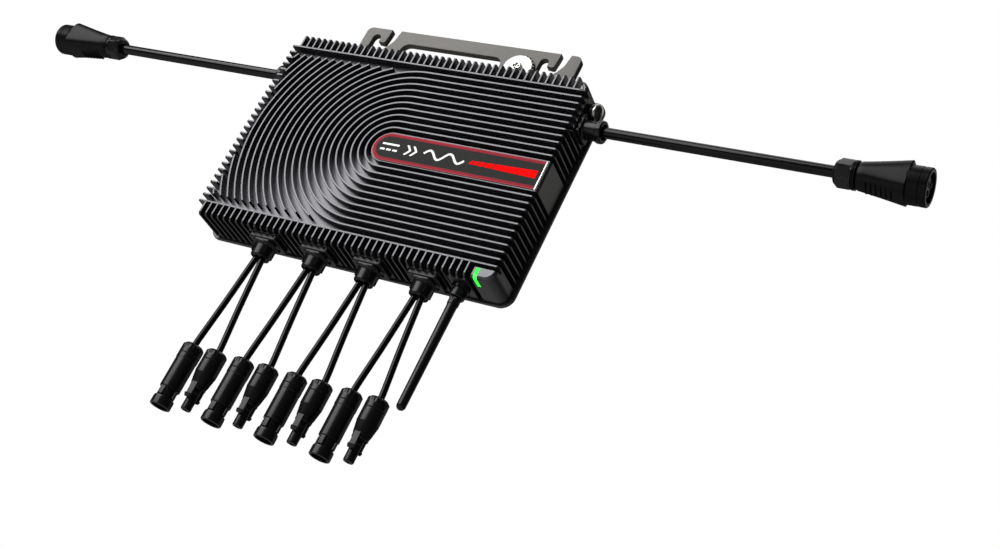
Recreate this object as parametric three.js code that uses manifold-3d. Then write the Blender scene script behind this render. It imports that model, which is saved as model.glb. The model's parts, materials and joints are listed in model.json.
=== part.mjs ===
// Multi-input solar inverter with a finned cast housing, hanging bracket, plug-in leads and an antenna.
// Millimetres, +Z up. X runs along the housing, and the finned front faces -Y.
// The origin is on the rear face of the bracket, level with the centre of the curved front ridges.

import * as THREE from 'three';
import { mergeVertices } from 'three/addons/utils/BufferGeometryUtils.js';
import Module from 'manifold-3d';

const wasm = await Module();
wasm.setup();

// ---- driving dimensions --------------------------------------------------------------------

const PITCH = 7.2; // spacing of every ridge and fin
const RIDGE_WIDTH = 1.9;
const RIDGE_HEIGHT = 8;
const DEPTH = 6 * PITCH; // front of the ridges to the back of the rear cover
const BRACKET_THICK = 7;
const COVER_THICK = 4;
const GASKET_THICK = 1.2;
const FRONT_WALL = 4;
const CAVITY_INSET = 10; // from the top and bottom walls to the cavity
const GAP = 0.3; // clearance around anything that turns or is fitted
const TOUCH = 0.02; // what keeps two stacked pieces from sharing a face

// Depths, from the back to the front
const COVER_BACK = -BRACKET_THICK;
const COVER_FRONT = COVER_BACK - COVER_THICK;
const HOUSING_BACK = COVER_FRONT - GASKET_THICK;
const FRONT = COVER_BACK - DEPTH;
const FLOOR = FRONT + RIDGE_HEIGHT;
const CAVITY_FRONT = FLOOR + FRONT_WALL;
const PORT_DEPTH = FRONT + 3 * PITCH; // the glands sit on this depth

// Widths and heights of the housing
const RAIL_Z = 13 * PITCH; // straight rails above and below the pattern
const WALL_Z = RAIL_Z + RIDGE_WIDTH / 2; // top and bottom wall surface
const TIP_Z = 15.03 * PITCH; // tips of the top and bottom fins
const WALL_LEFT = -21.5 * PITCH;
const TIP_LEFT = -22.66 * PITCH;
const WALL_RIGHT = 21 * PITCH;
const TIP_RIGHT = 22.4 * PITCH;
const COVER_X = 22.85 * PITCH;
const COVER_Z = 15.3 * PITCH;
const COVER_CORNER = 1.7 * PITCH;
const CAVITY_X = 20 * PITCH;
const CAVITY_Z = WALL_Z - CAVITY_INSET;
const FIN_ROUND = 0.4 * PITCH; // what is taken off the front corners of the fins
const BLOCK_CORNER = 1.4 * PITCH; // rounding of the solid block at the lower right

// Front pattern
const FIRST_RIDGE = 3; // radius of the innermost ridge, in pitches
const U_RIDGES = 10;
const ARC_RIDGES = 12;
const ARC_CUT_Z = 11.8 * PITCH;
const LABEL_HALF = 2.09 * PITCH;
const LABEL_THICK = 0.8;
const LABEL_PAD_HALF = 2.25 * PITCH;
const LABEL_RIGHT = 22 * PITCH;

// Fins along the top and the bottom
const FIRST_FIN = -21.3 * PITCH;
const FIN_STEP = 0.995 * PITCH; // from one to the next
const TOP_FINS = 43;
const BOTTOM_FINS = 41;
const LED_BLOCK_LEFT = 19.4 * PITCH;
const TOP_CORNER_LEFT = 21.35 * PITCH;
const TOP_CORNER_ROUND = 1.65 * PITCH; // radius of the solid corner at the upper right
const TOP_CORNER_TURN = 68; // degrees of it that show
const GROOVE_LOW = 13.57 * PITCH; // the groove above the light pipe's pad runs from here to the rail
const LED_WIDTH = 0.8 * PITCH;
const LED_THICK = 1.6;
const LED_X = 20 * PITCH;
const LED_TOP = 13.7 * PITCH; // how far below the centre the light pipe starts
const LED_WRAP = 2 * PITCH; // how far the light pipe runs back under the housing

// Direct-current inputs along the bottom
const INPUTS = 4;
const INPUT_STEP = 7.95 * PITCH;
const FIRST_INPUT = -11.4 * PITCH;
const DC_MOUTH = -17.7 * PITCH; // height of the gland mouth, where the leads flex
const DC_FLANGE = [4.5 * PITCH, 3.4 * PITCH, 6.8];
const DC_HUB = 10;
const DC_TAIL = 19; // how far a gland's tail goes up into the housing
const PAD_MARGIN = 1; // how far a housing pad shows round a gland's flange
const DC_CABLE = 2.9;
const DC_SPREAD = 3.6; // each lead's offset from the gland's centre at the mouth
const PLUG_SPREAD = 1.85 * PITCH; // and at the connector
const PLUG_TOP = -31.2 * PITCH;
const LEAD_SWING = 50; // degrees either way

// Alternating-current leads on the sides
const AC_SIDES = [['left', -1], ['right', 1]];
const AC_HEIGHT = { left: 9.8 * PITCH, right: 9.4 * PITCH };
const AC_MOUTH = { left: 24.3 * PITCH, right: 25.4 * PITCH };
const AC_HUB = 9;
const AC_RING = 10.4;
const AC_CABLE = 5;
const AC_CABLE_ROOT = 2.8; // how far the cable starts behind the gland's mouth
const AC_FLANGE = [22, 4]; // width of the square flange, and its thickness
const AC_TAIL = 14;
const AC_PAD = 12.5; // half the height of the flat pad behind the gland
const AC_PLUG = { left: 53.5 * PITCH, right: 54.2 * PITCH }; // where each coupler starts
const AC_PLUG_LENGTH = { left: 11.9 * PITCH, right: 10.6 * PITCH };
const AC_SWING = 45;

// Antenna
const ANTENNA_X = 17.2 * PITCH;
const ANTENNA_TIP = -31.8 * PITCH;
const ANTENNA_RADIUS = 4.6;
const ANTENNA_PAD = 10; // half the width of the flat pad above the antenna
const ANTENNA_FOOT = 12; // height of the foot that the whip screws into
const ANTENNA_THREAD = 2.8;

// Bracket
const BRACKET_LEFT = -17.7 * PITCH;
const BRACKET_RIGHT = 16 * PITCH;
const BRACKET_TOP = 22.4 * PITCH;
const BRACKET_BOTTOM = -2 * PITCH;
const HOOK_STEP = 26.6 * PITCH; // from one hook slot to the other

// ---- solids --------------------------------------------------------------------------------

// The same surface with shared corners and nothing but positions
function merged(geometry) {
  const bare = geometry.clone();
  bare.deleteAttribute('normal');
  bare.deleteAttribute('uv');
  return mergeVertices(bare, 1e-4);
}

function toSolid(geometry) {
  const surface = merged(geometry);
  const vertProperties = new Float32Array(surface.attributes.position.array);
  const triVerts = new Uint32Array(surface.index.array);
  return new wasm.Manifold(new wasm.Mesh({ numProp: 3, vertProperties, triVerts }));
}

function toGeometry(solid) {
  const mesh = solid.getMesh();
  const geometry = new THREE.BufferGeometry();
  geometry.setAttribute('position', new THREE.BufferAttribute(mesh.vertProperties, 3));
  geometry.setIndex(new THREE.BufferAttribute(mesh.triVerts, 1));
  geometry.computeVertexNormals();
  return geometry;
}

function join(geometries) {
  const solids = geometries.map(toSolid);
  return toGeometry(solids.reduce((sum, next) => sum.add(next)));
}

function cut(geometry, tools) {
  return toGeometry(tools.map(toSolid).reduce((rest, tool) => rest.subtract(tool), toSolid(geometry)));
}

function block(low, high) {
  const size = high.map((value, i) => value - low[i]);
  const geometry = new THREE.BoxGeometry(...size);
  return geometry.translate(...low.map((value, i) => value + size[i] / 2));
}

// A flat outline in X and Z, from one depth to another
function slab(shape, front, back, curveSegments = 6) {
  const options = { depth: back - front, bevelEnabled: false, curveSegments };
  return new THREE.ExtrudeGeometry(shape, options).rotateX(Math.PI / 2).translate(0, back, 0);
}

// A turned piece whose axis is +Z: the profile is a list of [radius, height] pairs
function turned(profile, segments = 16) {
  const points = profile.map(([radius, height]) => new THREE.Vector2(radius, height));
  const geometry = new THREE.LatheGeometry(points, segments).rotateX(Math.PI / 2);
  return facingOut(geometry);
}

// Turns the faces of a closed geometry round when its volume comes out negative
function facingOut(geometry) {
  const surface = merged(geometry);
  const corner = [new THREE.Vector3(), new THREE.Vector3(), new THREE.Vector3()];
  const index = surface.index.array;
  let volume = 0;
  for (let i = 0; i < index.length; i += 3) {
    corner.forEach((point, k) => point.fromBufferAttribute(surface.attributes.position, index[i + k]));
    volume += corner[0].dot(corner[1].clone().cross(corner[2]));
  }
  if (volume < 0) {
    for (let i = 0; i < index.length; i += 3) [index[i], index[i + 1]] = [index[i + 1], index[i]];
  }
  surface.computeVertexNormals();
  return surface;
}

function rod(radius, low, high, segments = 16) {
  return turned([[0, low], [radius, low], [radius, high], [0, high]], segments);
}

function roundedRect(halfX, halfZ, radius) {
  const shape = new THREE.Shape();
  shape.moveTo(-halfX + radius, -halfZ);
  shape.lineTo(halfX - radius, -halfZ);
  shape.absarc(halfX - radius, -halfZ + radius, radius, -Math.PI / 2, 0);
  shape.lineTo(halfX, halfZ - radius);
  shape.absarc(halfX - radius, halfZ - radius, radius, 0, Math.PI / 2);
  shape.lineTo(-halfX + radius, halfZ);
  shape.absarc(-halfX + radius, halfZ - radius, radius, Math.PI / 2, Math.PI);
  shape.lineTo(-halfX, -halfZ + radius);
  shape.absarc(-halfX + radius, -halfZ + radius, radius, Math.PI, 1.5 * Math.PI);
  return shape;
}

// A round bar along a curve
function cable(points, radius, steps = 8, sides = 4) {
  const shape = new THREE.Shape();
  shape.absarc(0, 0, radius, 0, 2 * Math.PI);
  const path = new THREE.CatmullRomCurve3(points.map((point) => new THREE.Vector3(...point)));
  const options = { steps, extrudePath: path, curveSegments: sides };
  return facingOut(new THREE.ExtrudeGeometry(shape, options));
}

// ---- the scene -----------------------------------------------------------------------------

const inverter = new THREE.Group();

function add(group, name, geometry, look) {
  const mesh = new THREE.Mesh(geometry, new THREE.MeshStandardMaterial(look));
  mesh.name = name;
  group.add(mesh);
  return mesh;
}

const CAST_BLACK = { color: 0x17181a, roughness: 0.45, metalness: 0.6 };
const CAST_GREY = { color: 0x6d6963, roughness: 0.45, metalness: 0.7 };
const PLASTIC = { color: 0x0d0d0e, roughness: 0.4, metalness: 0 };
const CABLE_JACKET = { color: 0x101012, roughness: 0.35, metalness: 0 };
const STEEL = { color: 0xb9bbbd, roughness: 0.25, metalness: 1 };
const RUBBER = { color: 0x1c1c1c, roughness: 0.8, metalness: 0 };

// ---- housing -------------------------------------------------------------------------------

// A ridge that runs round the label's rounded end and straight to the right
function uRidge(radius) {
  const outer = radius + RIDGE_WIDTH / 2;
  const inner = radius - RIDGE_WIDTH / 2;
  const shape = new THREE.Shape();
  shape.moveTo(TIP_RIGHT, outer);
  shape.lineTo(0, outer);
  shape.absarc(0, 0, outer, Math.PI / 2, 1.5 * Math.PI);
  shape.lineTo(TIP_RIGHT, -outer);
  shape.lineTo(TIP_RIGHT, -inner);
  shape.lineTo(0, -inner);
  shape.absarc(0, 0, inner, 1.5 * Math.PI, Math.PI / 2, true);
  shape.lineTo(TIP_RIGHT, inner);
  return shape;
}

// Part of a ring on the left, cut off at the rails and at the left wall
function arcRidge(radius) {
  const outer = radius + RIDGE_WIDTH / 2;
  const inner = radius - RIDGE_WIDTH / 2;
  const end = Math.asin(ARC_CUT_Z / radius);
  const shapes = [];
  const limit = -WALL_LEFT - 2 * GAP;
  const leftMost = outer > limit ? Math.acos(limit / outer) : 0;
  const spans = leftMost ? [[leftMost, end], [-end, -leftMost]] : [[-end, end]];
  for (const [from, to] of spans) {
    const shape = new THREE.Shape();
    shape.absarc(0, 0, outer, Math.PI + from, Math.PI + to);
    shape.absarc(0, 0, inner, Math.PI + to, Math.PI + from, true);
    shapes.push(shape);
  }
  return shapes;
}

function frontRidges() {
  const parts = [];
  for (let n = 0; n < U_RIDGES; n += 1) {
    parts.push(slab(uRidge((FIRST_RIDGE + n) * PITCH), FRONT, FLOOR + 1, 5));
  }
  for (let n = 0; n < ARC_RIDGES; n += 1) {
    const radius = (FIRST_RIDGE + U_RIDGES + n) * PITCH;
    for (const shape of arcRidge(radius)) parts.push(slab(shape, FRONT, FLOOR + 1, 3));
  }
  return parts;
}

// The housing seen from the front: fins stand out of all four walls, on the pitch of the ridges
function combOutline() {
  const half = RIDGE_WIDTH / 2;
  const points = [];
  const corner = (x, z) => points.push(new THREE.Vector2(x, z));
  const fin = (along, wall, tip, direction, place) => {
    place(along - direction * half, wall);
    place(along - direction * half, tip);
    place(along + direction * half, tip);
    place(along + direction * half, wall);
  };
  const roundCorner = (radius, from, to, x, z) => {
    const steps = 5;
    for (let k = 0; k <= steps; k += 1) {
      const angle = THREE.MathUtils.degToRad(from + ((to - from) * k) / steps);
      corner(x + radius * Math.cos(angle), z + radius * Math.sin(angle));
    }
  };
  const rows = FIRST_RIDGE + U_RIDGES - 1; // ridges that reach the right wall, above and below
  for (let i = 0; i < BOTTOM_FINS; i += 1) fin(FIRST_FIN + i * FIN_STEP, -WALL_Z, -TIP_Z, 1, corner);
  corner(LED_BLOCK_LEFT, -WALL_Z);
  corner(LED_BLOCK_LEFT, -TIP_Z);
  roundCorner(BLOCK_CORNER, -90, 0, TIP_RIGHT - BLOCK_CORNER, BLOCK_CORNER - TIP_Z);
  corner(TIP_RIGHT, half - RAIL_Z);
  corner(WALL_RIGHT, half - RAIL_Z);
  const onRight = (z, x) => corner(x, z);
  for (let n = -rows; n <= -FIRST_RIDGE; n += 1) fin(n * PITCH, WALL_RIGHT, TIP_RIGHT, 1, onRight);
  corner(WALL_RIGHT, -LABEL_PAD_HALF);
  corner(TIP_RIGHT, -LABEL_PAD_HALF);
  corner(TIP_RIGHT, LABEL_PAD_HALF);
  corner(WALL_RIGHT, LABEL_PAD_HALF);
  for (let n = FIRST_RIDGE; n <= rows; n += 1) fin(n * PITCH, WALL_RIGHT, TIP_RIGHT, 1, onRight);
  corner(WALL_RIGHT, RAIL_Z - half);
  roundCorner(TOP_CORNER_ROUND, 0, TOP_CORNER_TURN, TIP_RIGHT - TOP_CORNER_ROUND, RAIL_Z - half);
  corner(TOP_CORNER_LEFT, WALL_Z);
  for (let i = TOP_FINS - 1; i >= 0; i -= 1) fin(FIRST_FIN + i * FIN_STEP, WALL_Z, TIP_Z, -1, corner);
  corner(TIP_LEFT, WALL_Z);
  corner(WALL_LEFT, RAIL_Z - half);
  for (let n = rows; n >= -rows; n -= 1) fin(n * PITCH, WALL_LEFT, TIP_LEFT, -1, onRight);
  corner(WALL_LEFT, half - RAIL_Z);
  corner(TIP_LEFT, -WALL_Z);
  return new THREE.Shape(points);
}

// Long wedges that take off the front corners of the fins on every side
function cornerWedges() {
  const reach = 2 * COVER_X;
  const wedge = (tip) => {
    const shape = new THREE.Shape();
    shape.moveTo(tip - FIN_ROUND, FRONT);
    shape.lineTo(tip - FIN_ROUND, FRONT - 1);
    shape.lineTo(tip + 1, FRONT - 1);
    shape.lineTo(tip + 1, FRONT + FIN_ROUND);
    shape.lineTo(tip, FRONT + FIN_ROUND);
    const bar = new THREE.ExtrudeGeometry(shape, { depth: reach, bevelEnabled: false });
    return bar.translate(0, 0, -reach / 2);
  };
  const right = wedge(TIP_RIGHT);
  const left = wedge(-TIP_LEFT).rotateY(Math.PI);
  const top = wedge(TIP_Z).rotateY(-Math.PI / 2);
  const bottom = wedge(TIP_Z).rotateY(Math.PI / 2);
  return [right, left, top, bottom].map(facingOut);
}

function labelPad(half, right) {
  const shape = new THREE.Shape();
  shape.moveTo(right, half);
  shape.lineTo(0, half);
  shape.absarc(0, 0, half, Math.PI / 2, 1.5 * Math.PI);
  shape.lineTo(right, -half);
  return shape;
}

// Flat pads behind the glands, the vent and the antenna
function housingPads() {
  const flange = DC_FLANGE[0] / 2 + PAD_MARGIN;
  const padFront = PORT_DEPTH - DC_FLANGE[1] / 2 - PAD_MARGIN;
  const parts = [
    block([WALL_RIGHT - 1, padFront, AC_HEIGHT.right - AC_PAD], [TIP_RIGHT, HOUSING_BACK, WALL_Z]),
    block([TIP_LEFT, padFront, AC_HEIGHT.left - AC_PAD], [WALL_LEFT + 1, HOUSING_BACK, AC_HEIGHT.left + AC_PAD]),
    block([ANTENNA_X - ANTENNA_PAD, padFront, -TIP_Z], [ANTENNA_X + ANTENNA_PAD, HOUSING_BACK, 1 - WALL_Z]),
  ];
  for (let i = 0; i < INPUTS; i += 1) {
    const x = FIRST_INPUT + i * INPUT_STEP;
    parts.push(block([x - flange, padFront, -TIP_Z], [x + flange, HOUSING_BACK, 1 - WALL_Z]));
  }
  return parts;
}

const SPIGOT = 7.5; // radius of every gland's threaded tail
const SCREW_X = CAVITY_X + 4;
const SCREW_Z = CAVITY_Z + 5;
const SCREW_HOLE = 2.2;
const SCREW_DEPTH = 12; // depth of the tapped holes
const VENT_HEIGHT = AC_HEIGHT.right + 2.6 * PITCH;
const VENT_TAIL = 4;
const CAVITY_CORNER = 6;

// What is taken out of the housing: the cavity, the gland holes and the tapped screw holes
function housingCuts() {
  const hole = SPIGOT + GAP;
  const cuts = [slab(roundedRect(CAVITY_X, CAVITY_Z, CAVITY_CORNER), CAVITY_FRONT, HOUSING_BACK + 1, 2)];
  for (let i = 0; i < INPUTS; i += 1) {
    const x = FIRST_INPUT + i * INPUT_STEP;
    cuts.push(rod(hole, -TIP_Z - 1, 1 - CAVITY_Z).translate(x, PORT_DEPTH, 0));
  }
  cuts.push(rod(VENT_TAIL + GAP, -TIP_Z - 1, 1 - CAVITY_Z).translate(ANTENNA_X, PORT_DEPTH, 0));
  for (const [name, side] of AC_SIDES) {
    const bore = rod(hole, CAVITY_X - 1, TIP_RIGHT + 2).rotateY((side * Math.PI) / 2);
    cuts.push(bore.translate(0, PORT_DEPTH, AC_HEIGHT[name]));
    for (const end of [-1, 1]) {
      const tapped = rod(SCREW_HOLE, 0, SCREW_DEPTH + 1, 10).rotateX(Math.PI / 2);
      cuts.push(tapped.translate(side * SCREW_X, HOUSING_BACK + 1, end * SCREW_Z));
    }
  }
  const ventBore = rod(VENT_TAIL + GAP, 0, 8).rotateY(Math.PI / 2);
  cuts.push(ventBore.translate(TIP_RIGHT - 7, PORT_DEPTH, VENT_HEIGHT));
  cuts.push(ledOutline(GAP / 2));
  return cuts;
}

// The light pipe: a short bar on the front that turns under the block's corner and runs back
function ledOutline(grow) {
  const shape = new THREE.Shape();
  const top = LED_TOP - grow;
  const out = 2 * grow;
  const inner = LED_THICK + grow;
  shape.moveTo(top, FRONT - out);
  shape.lineTo(TIP_Z - FIN_ROUND, FRONT - out);
  shape.lineTo(TIP_Z + out, FRONT + FIN_ROUND);
  shape.lineTo(TIP_Z + out, FRONT + LED_WRAP + grow);
  shape.lineTo(TIP_Z - inner, FRONT + LED_WRAP + grow);
  shape.lineTo(TIP_Z - inner, FRONT + FIN_ROUND + 1);
  shape.lineTo(TIP_Z - FIN_ROUND - 1, FRONT + inner);
  shape.lineTo(top, FRONT + inner);
  const bar = new THREE.ExtrudeGeometry(shape, { depth: LED_WIDTH + 2 * grow, bevelEnabled: false });
  const x = LED_X - LED_WIDTH / 2 - grow;
  bar.applyMatrix4(new THREE.Matrix4().set(0, 0, 1, x, 0, 1, 0, 0, -1, 0, 0, 0, 0, 0, 0, 1));
  return facingOut(bar);
}

function housing() {
  const body = slab(combOutline(), FRONT, HOUSING_BACK);
  const inside = RAIL_Z - RIDGE_WIDTH / 2;
  const recess = block([WALL_LEFT - GAP, FRONT - 1, -inside], [TIP_RIGHT + 1, FLOOR, inside]);
  const groove = block([LED_BLOCK_LEFT - GAP, FRONT - 1, -GROOVE_LOW], [TIP_RIGHT + 1, FLOOR, -WALL_Z]);
  const pad = slab(labelPad(LABEL_PAD_HALF, TIP_RIGHT), FRONT + LABEL_THICK, FLOOR + 1, 8);
  const solid = join([cut(body, [recess, groove]), ...frontRidges(), pad, ...housingPads()]);
  return cut(solid, [...cornerWedges(), ...housingCuts()]);
}

add(inverter, 'heatsink_housing', housing(), CAST_BLACK);
add(inverter, 'led_light_pipe', ledOutline(0), { color: 0x19d82c, roughness: 0.3, emissive: 0x0b7a16 });

const label = slab(labelPad(LABEL_HALF, LABEL_RIGHT), FRONT, FRONT + LABEL_THICK, 12);
add(inverter, 'label_plate', label, { color: 0x2d2d2b, roughness: 0.5, metalness: 0.1 });

// ---- rear cover and its seal ---------------------------------------------------------------

function screwHoles(radius, from, to) {
  const holes = [];
  for (const side of [-1, 1]) {
    for (const end of [-1, 1]) {
      const hole = rod(radius, 0, to - from, 10).rotateX(Math.PI / 2);
      holes.push(hole.translate(side * SCREW_X, to, end * SCREW_Z));
    }
  }
  return holes;
}

const BRACKET_SCREWS = [-10 * PITCH, 8.5 * PITCH]; // X of the two screws that hold the bracket
const BRACKET_SCREW_Z = 8.5 * PITCH;

function bracketScrewHoles(radius, from, to) {
  const hole = (x) => rod(radius, 0, to - from, 10).rotateX(Math.PI / 2).translate(x, to, BRACKET_SCREW_Z);
  return BRACKET_SCREWS.map(hole);
}

function rearCover() {
  const plate = slab(roundedRect(COVER_X, COVER_Z, COVER_CORNER), COVER_FRONT, COVER_BACK, 4);
  const holes = screwHoles(SCREW_HOLE + GAP, COVER_FRONT - 1, COVER_BACK + 1);
  return cut(plate, [...holes, ...bracketScrewHoles(SCREW_HOLE, COVER_FRONT - 1, COVER_BACK + 1)]);
}

function gasket() {
  const reach = WALL_Z - CAVITY_Z - 1.5; // stays inside the walls, outside the screws
  const outline = roundedRect(CAVITY_X + reach - 1, CAVITY_Z + reach, CAVITY_CORNER + 2);
  outline.holes.push(roundedRect(CAVITY_X + 0.5, CAVITY_Z + 0.5, CAVITY_CORNER));
  const holes = screwHoles(SCREW_HOLE + GAP, HOUSING_BACK - 1, COVER_FRONT + 1);
  return cut(slab(outline, HOUSING_BACK, COVER_FRONT, 2), holes);
}

add(inverter, 'rear_cover', rearCover(), CAST_GREY);
add(inverter, 'cover_gasket', gasket(), RUBBER);

// A pan-head screw along Z: the shank points down and the head's cross recess is on top
function crossScrew(headRadius, headHeight, shankRadius, shankLength) {
  const profile = [[0, -shankLength], [shankRadius, -shankLength], [shankRadius, 0], [headRadius, 0]];
  profile.push([headRadius, headHeight * 0.6], [headRadius * 0.75, headHeight], [0, headHeight]);
  const arm = headRadius * 0.55;
  const slot = headRadius * 0.14;
  const deep = headHeight * 0.5;
  const along = block([-arm, -slot, deep], [arm, slot, headHeight + 1]);
  const across = block([-slot, -arm, deep], [slot, arm, headHeight + 1]);
  return cut(turned(profile, 10), [along, across]);
}

const SCREW_HEAD = [4, 2.6]; // radius and height of a small screw's head
const SCREW_SHANK = 1.9;

let screwNumber = 0;
for (const end of [1, -1]) {
  for (const side of [-1, 1]) {
    screwNumber += 1;
    const geometry = crossScrew(...SCREW_HEAD, SCREW_SHANK, 14);
    const screw = add(inverter, `cover_screw_${screwNumber}`, geometry, STEEL);
    screw.rotation.x = -Math.PI / 2;
    screw.position.set(side * SCREW_X, COVER_BACK + TOUCH, end * SCREW_Z);
  }
}

// ---- bracket -------------------------------------------------------------------------------

// One hook slot, relative to the slot's rounded end: it opens upwards and runs down and round
function hookSlot(x) {
  const mouth = 1.5 * PITCH; // width of the opening at the top edge
  const half = 0.62 * PITCH; // half the width of the rounded end
  const endZ = BRACKET_TOP - 1.75 * PITCH;
  const foot = BRACKET_TOP - 3.8 * PITCH;
  const neck = 1.45 * PITCH; // distance from the rounded end to the throat
  const left = x + 1.85 * PITCH; // the opening's left side
  const shape = new THREE.Path();
  shape.moveTo(left + mouth, BRACKET_TOP + 1);
  shape.lineTo(left, BRACKET_TOP + 1);
  shape.lineTo(left - 0.2, BRACKET_TOP - 0.9 * PITCH);
  shape.lineTo(x + neck, BRACKET_TOP - 2.4 * PITCH);
  shape.lineTo(x + half, BRACKET_TOP - 2.3 * PITCH);
  shape.lineTo(x + half, endZ);
  shape.absarc(x, endZ, half, 0, Math.PI);
  shape.lineTo(x - half, foot);
  shape.lineTo(x + 0.9 * PITCH, foot - 0.2 * PITCH);
  shape.lineTo(x + 2.4 * PITCH, foot + 0.9 * PITCH);
  return new THREE.Shape(shape.getPoints(4));
}

const FIRST_HOOK = -15.6 * PITCH;
const EARTH_X = 8.05 * PITCH;
const EARTH_Z = 18.7 * PITCH;
const EARTH_SHANK = 2.6;
const WASHER_RADIUS = 16.6;
const WASHER_THICK = 5;
const BRACKET_CORNER = 6;
const WINDOW = [7.9 * PITCH, 1.5 * PITCH, 8]; // half width, half height and corner of the window
const WINDOW_X = -3 * PITCH;
const WINDOW_DROP = 3.55 * PITCH; // from the bracket's top edge to the window's middle
const COUNTERBORE = [4.6, 3]; // radius and depth

function bracket() {
  const halfX = (BRACKET_RIGHT - BRACKET_LEFT) / 2;
  const halfZ = (BRACKET_TOP - BRACKET_BOTTOM) / 2;
  const plate = slab(roundedRect(halfX, halfZ, BRACKET_CORNER), -BRACKET_THICK, 0, 3);
  plate.translate(BRACKET_LEFT + halfX, 0, BRACKET_BOTTOM + halfZ);
  const window = slab(roundedRect(...WINDOW), -BRACKET_THICK - 1, 1, 3);
  window.translate(WINDOW_X, 0, BRACKET_TOP - WINDOW_DROP);
  const tools = [window];
  for (const x of [FIRST_HOOK, FIRST_HOOK + HOOK_STEP]) {
    tools.push(slab(hookSlot(x), -BRACKET_THICK - 1, 1));
  }
  tools.push(rod(EARTH_SHANK + GAP, 0, 20).rotateX(Math.PI / 2).translate(EARTH_X, 1, EARTH_Z));
  for (const x of BRACKET_SCREWS) {
    const bore = rod(COUNTERBORE[0], 0, COUNTERBORE[1] + 1, 12).rotateX(Math.PI / 2);
    tools.push(bore.translate(x, 1, BRACKET_SCREW_Z));
  }
  tools.push(...bracketScrewHoles(SCREW_HOLE + GAP, -BRACKET_THICK - 1, 1));
  return cut(plate, tools);
}

add(inverter, 'mounting_bracket', bracket(), CAST_GREY);

['left', 'right'].forEach((side, i) => {
  const geometry = crossScrew(...SCREW_HEAD, SCREW_SHANK, 7);
  const screw = add(inverter, `bracket_screw_${side}`, geometry, STEEL);
  screw.rotation.x = -Math.PI / 2;
  screw.position.set(BRACKET_SCREWS[i], TOUCH - COUNTERBORE[1], BRACKET_SCREW_Z);
});

// The earth point: a toothed disc held on the bracket's front by a screw
function toothedDisc() {
  const teeth = 24;
  const shape = new THREE.Shape();
  for (let i = 0; i < teeth; i += 1) {
    const turn = (2 * Math.PI) / teeth;
    const corners = [[0.05, 1], [0.4, 1], [0.5, 0.93], [0.95, 0.93]];
    for (const [part, size] of corners) {
      const angle = (i + part) * turn;
      const radius = WASHER_RADIUS * size;
      if (i === 0 && part < 0.1) shape.moveTo(radius * Math.cos(angle), radius * Math.sin(angle));
      else shape.lineTo(radius * Math.cos(angle), radius * Math.sin(angle));
    }
  }
  const disc = slab(shape, -WASHER_THICK, 0);
  return cut(disc, [rod(EARTH_SHANK + GAP, 0, 20).rotateX(Math.PI / 2).translate(0, 10, 0)]);
}

const washer = add(inverter, 'earth_washer', toothedDisc(), STEEL);
washer.position.set(EARTH_X, -BRACKET_THICK, EARTH_Z);
const earthScrew = add(inverter, 'earth_screw', crossScrew(5, 3.2, EARTH_SHANK, 10), STEEL);
earthScrew.rotation.x = Math.PI / 2;
earthScrew.position.set(EARTH_X, -BRACKET_THICK - WASHER_THICK - TOUCH, EARTH_Z);

// ---- direct-current glands and leads -------------------------------------------------------

// The gland's flange lies on the housing, its hub hangs down and its tail goes into the cavity
function dcGland() {
  const [wide, deep, thick] = DC_FLANGE;
  const top = -TIP_Z;
  const flange = slab(roundedRect(wide / 2, deep / 2, 3), 0, thick, 3).rotateX(Math.PI / 2);
  flange.translate(0, 0, top - thick);
  const root = top - thick + 1; // where the hub joins the flange
  const hub = turned([[0, DC_MOUTH], [DC_HUB - 0.8, DC_MOUTH], [DC_HUB, root], [0, root]], 16);
  const tail = rod(SPIGOT, top - 1, top + DC_TAIL, 12);
  // The pocket leaves room for both leads at the limits of their swing
  const [wideHalf, deepHalf, pocketDepth] = [DC_SPREAD + DC_CABLE + 0.4, 4.9, 4.3];
  const low = [-wideHalf, -deepHalf, DC_MOUTH - 1];
  const pocket = block(low, [wideHalf, deepHalf, DC_MOUTH + pocketDepth]);
  return cut(join([flange, hub, tail]), [pocket]);
}

// A cap nut with a bore for the cable; height 0 is its upper face and it hangs down
const NUT_LENGTH = 11;
const NUT_WALL = 3.2;
const TAIL_RADIUS = 6.4;
const BARREL = 9.8; // radius of the nuts and of the barrels below them
const BARREL_TOP = -NUT_LENGTH - TOUCH;

function dcNut() {
  const bore = DC_CABLE + GAP;
  const inner = TAIL_RADIUS + GAP;
  const profile = [[bore, 0], [bore, -NUT_WALL], [inner, -NUT_WALL], [inner, -NUT_LENGTH]];
  profile.push([BARREL, -NUT_LENGTH], [BARREL, -2.4], [6, 0], [bore, 0]);
  return turned(profile, 12);
}

// The socket half: a long barrel, a neck with two latch windows and an open ring
function dcSocket() {
  const end = -62.6;
  const [neck, ring, bore] = [7.9, 9.5, 7.4]; // radii
  const [neckTop, ringTop] = [-46.5, -54];
  const mouthDepth = 14;
  const tail = -NUT_WALL - GAP;
  const profile = [[0, tail], [TAIL_RADIUS, tail], [TAIL_RADIUS, BARREL_TOP], [BARREL, BARREL_TOP]];
  profile.push([BARREL, neckTop + 1], [neck, neckTop], [neck, ringTop], [ring, ringTop], [ring, end]);
  profile.push([bore, end], [bore, end + mouthDepth], [0, end + mouthDepth]);
  const windowWall = 1.2;
  const windows = [-1, 1].map((side) => {
    const middle = side * (neck + 0.1);
    return block([-3.4, middle - windowWall, ringTop + 1], [3.4, middle + windowWall, neckTop - 1.1]);
  });
  return cut(turned(profile, 12), windows);
}

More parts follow.
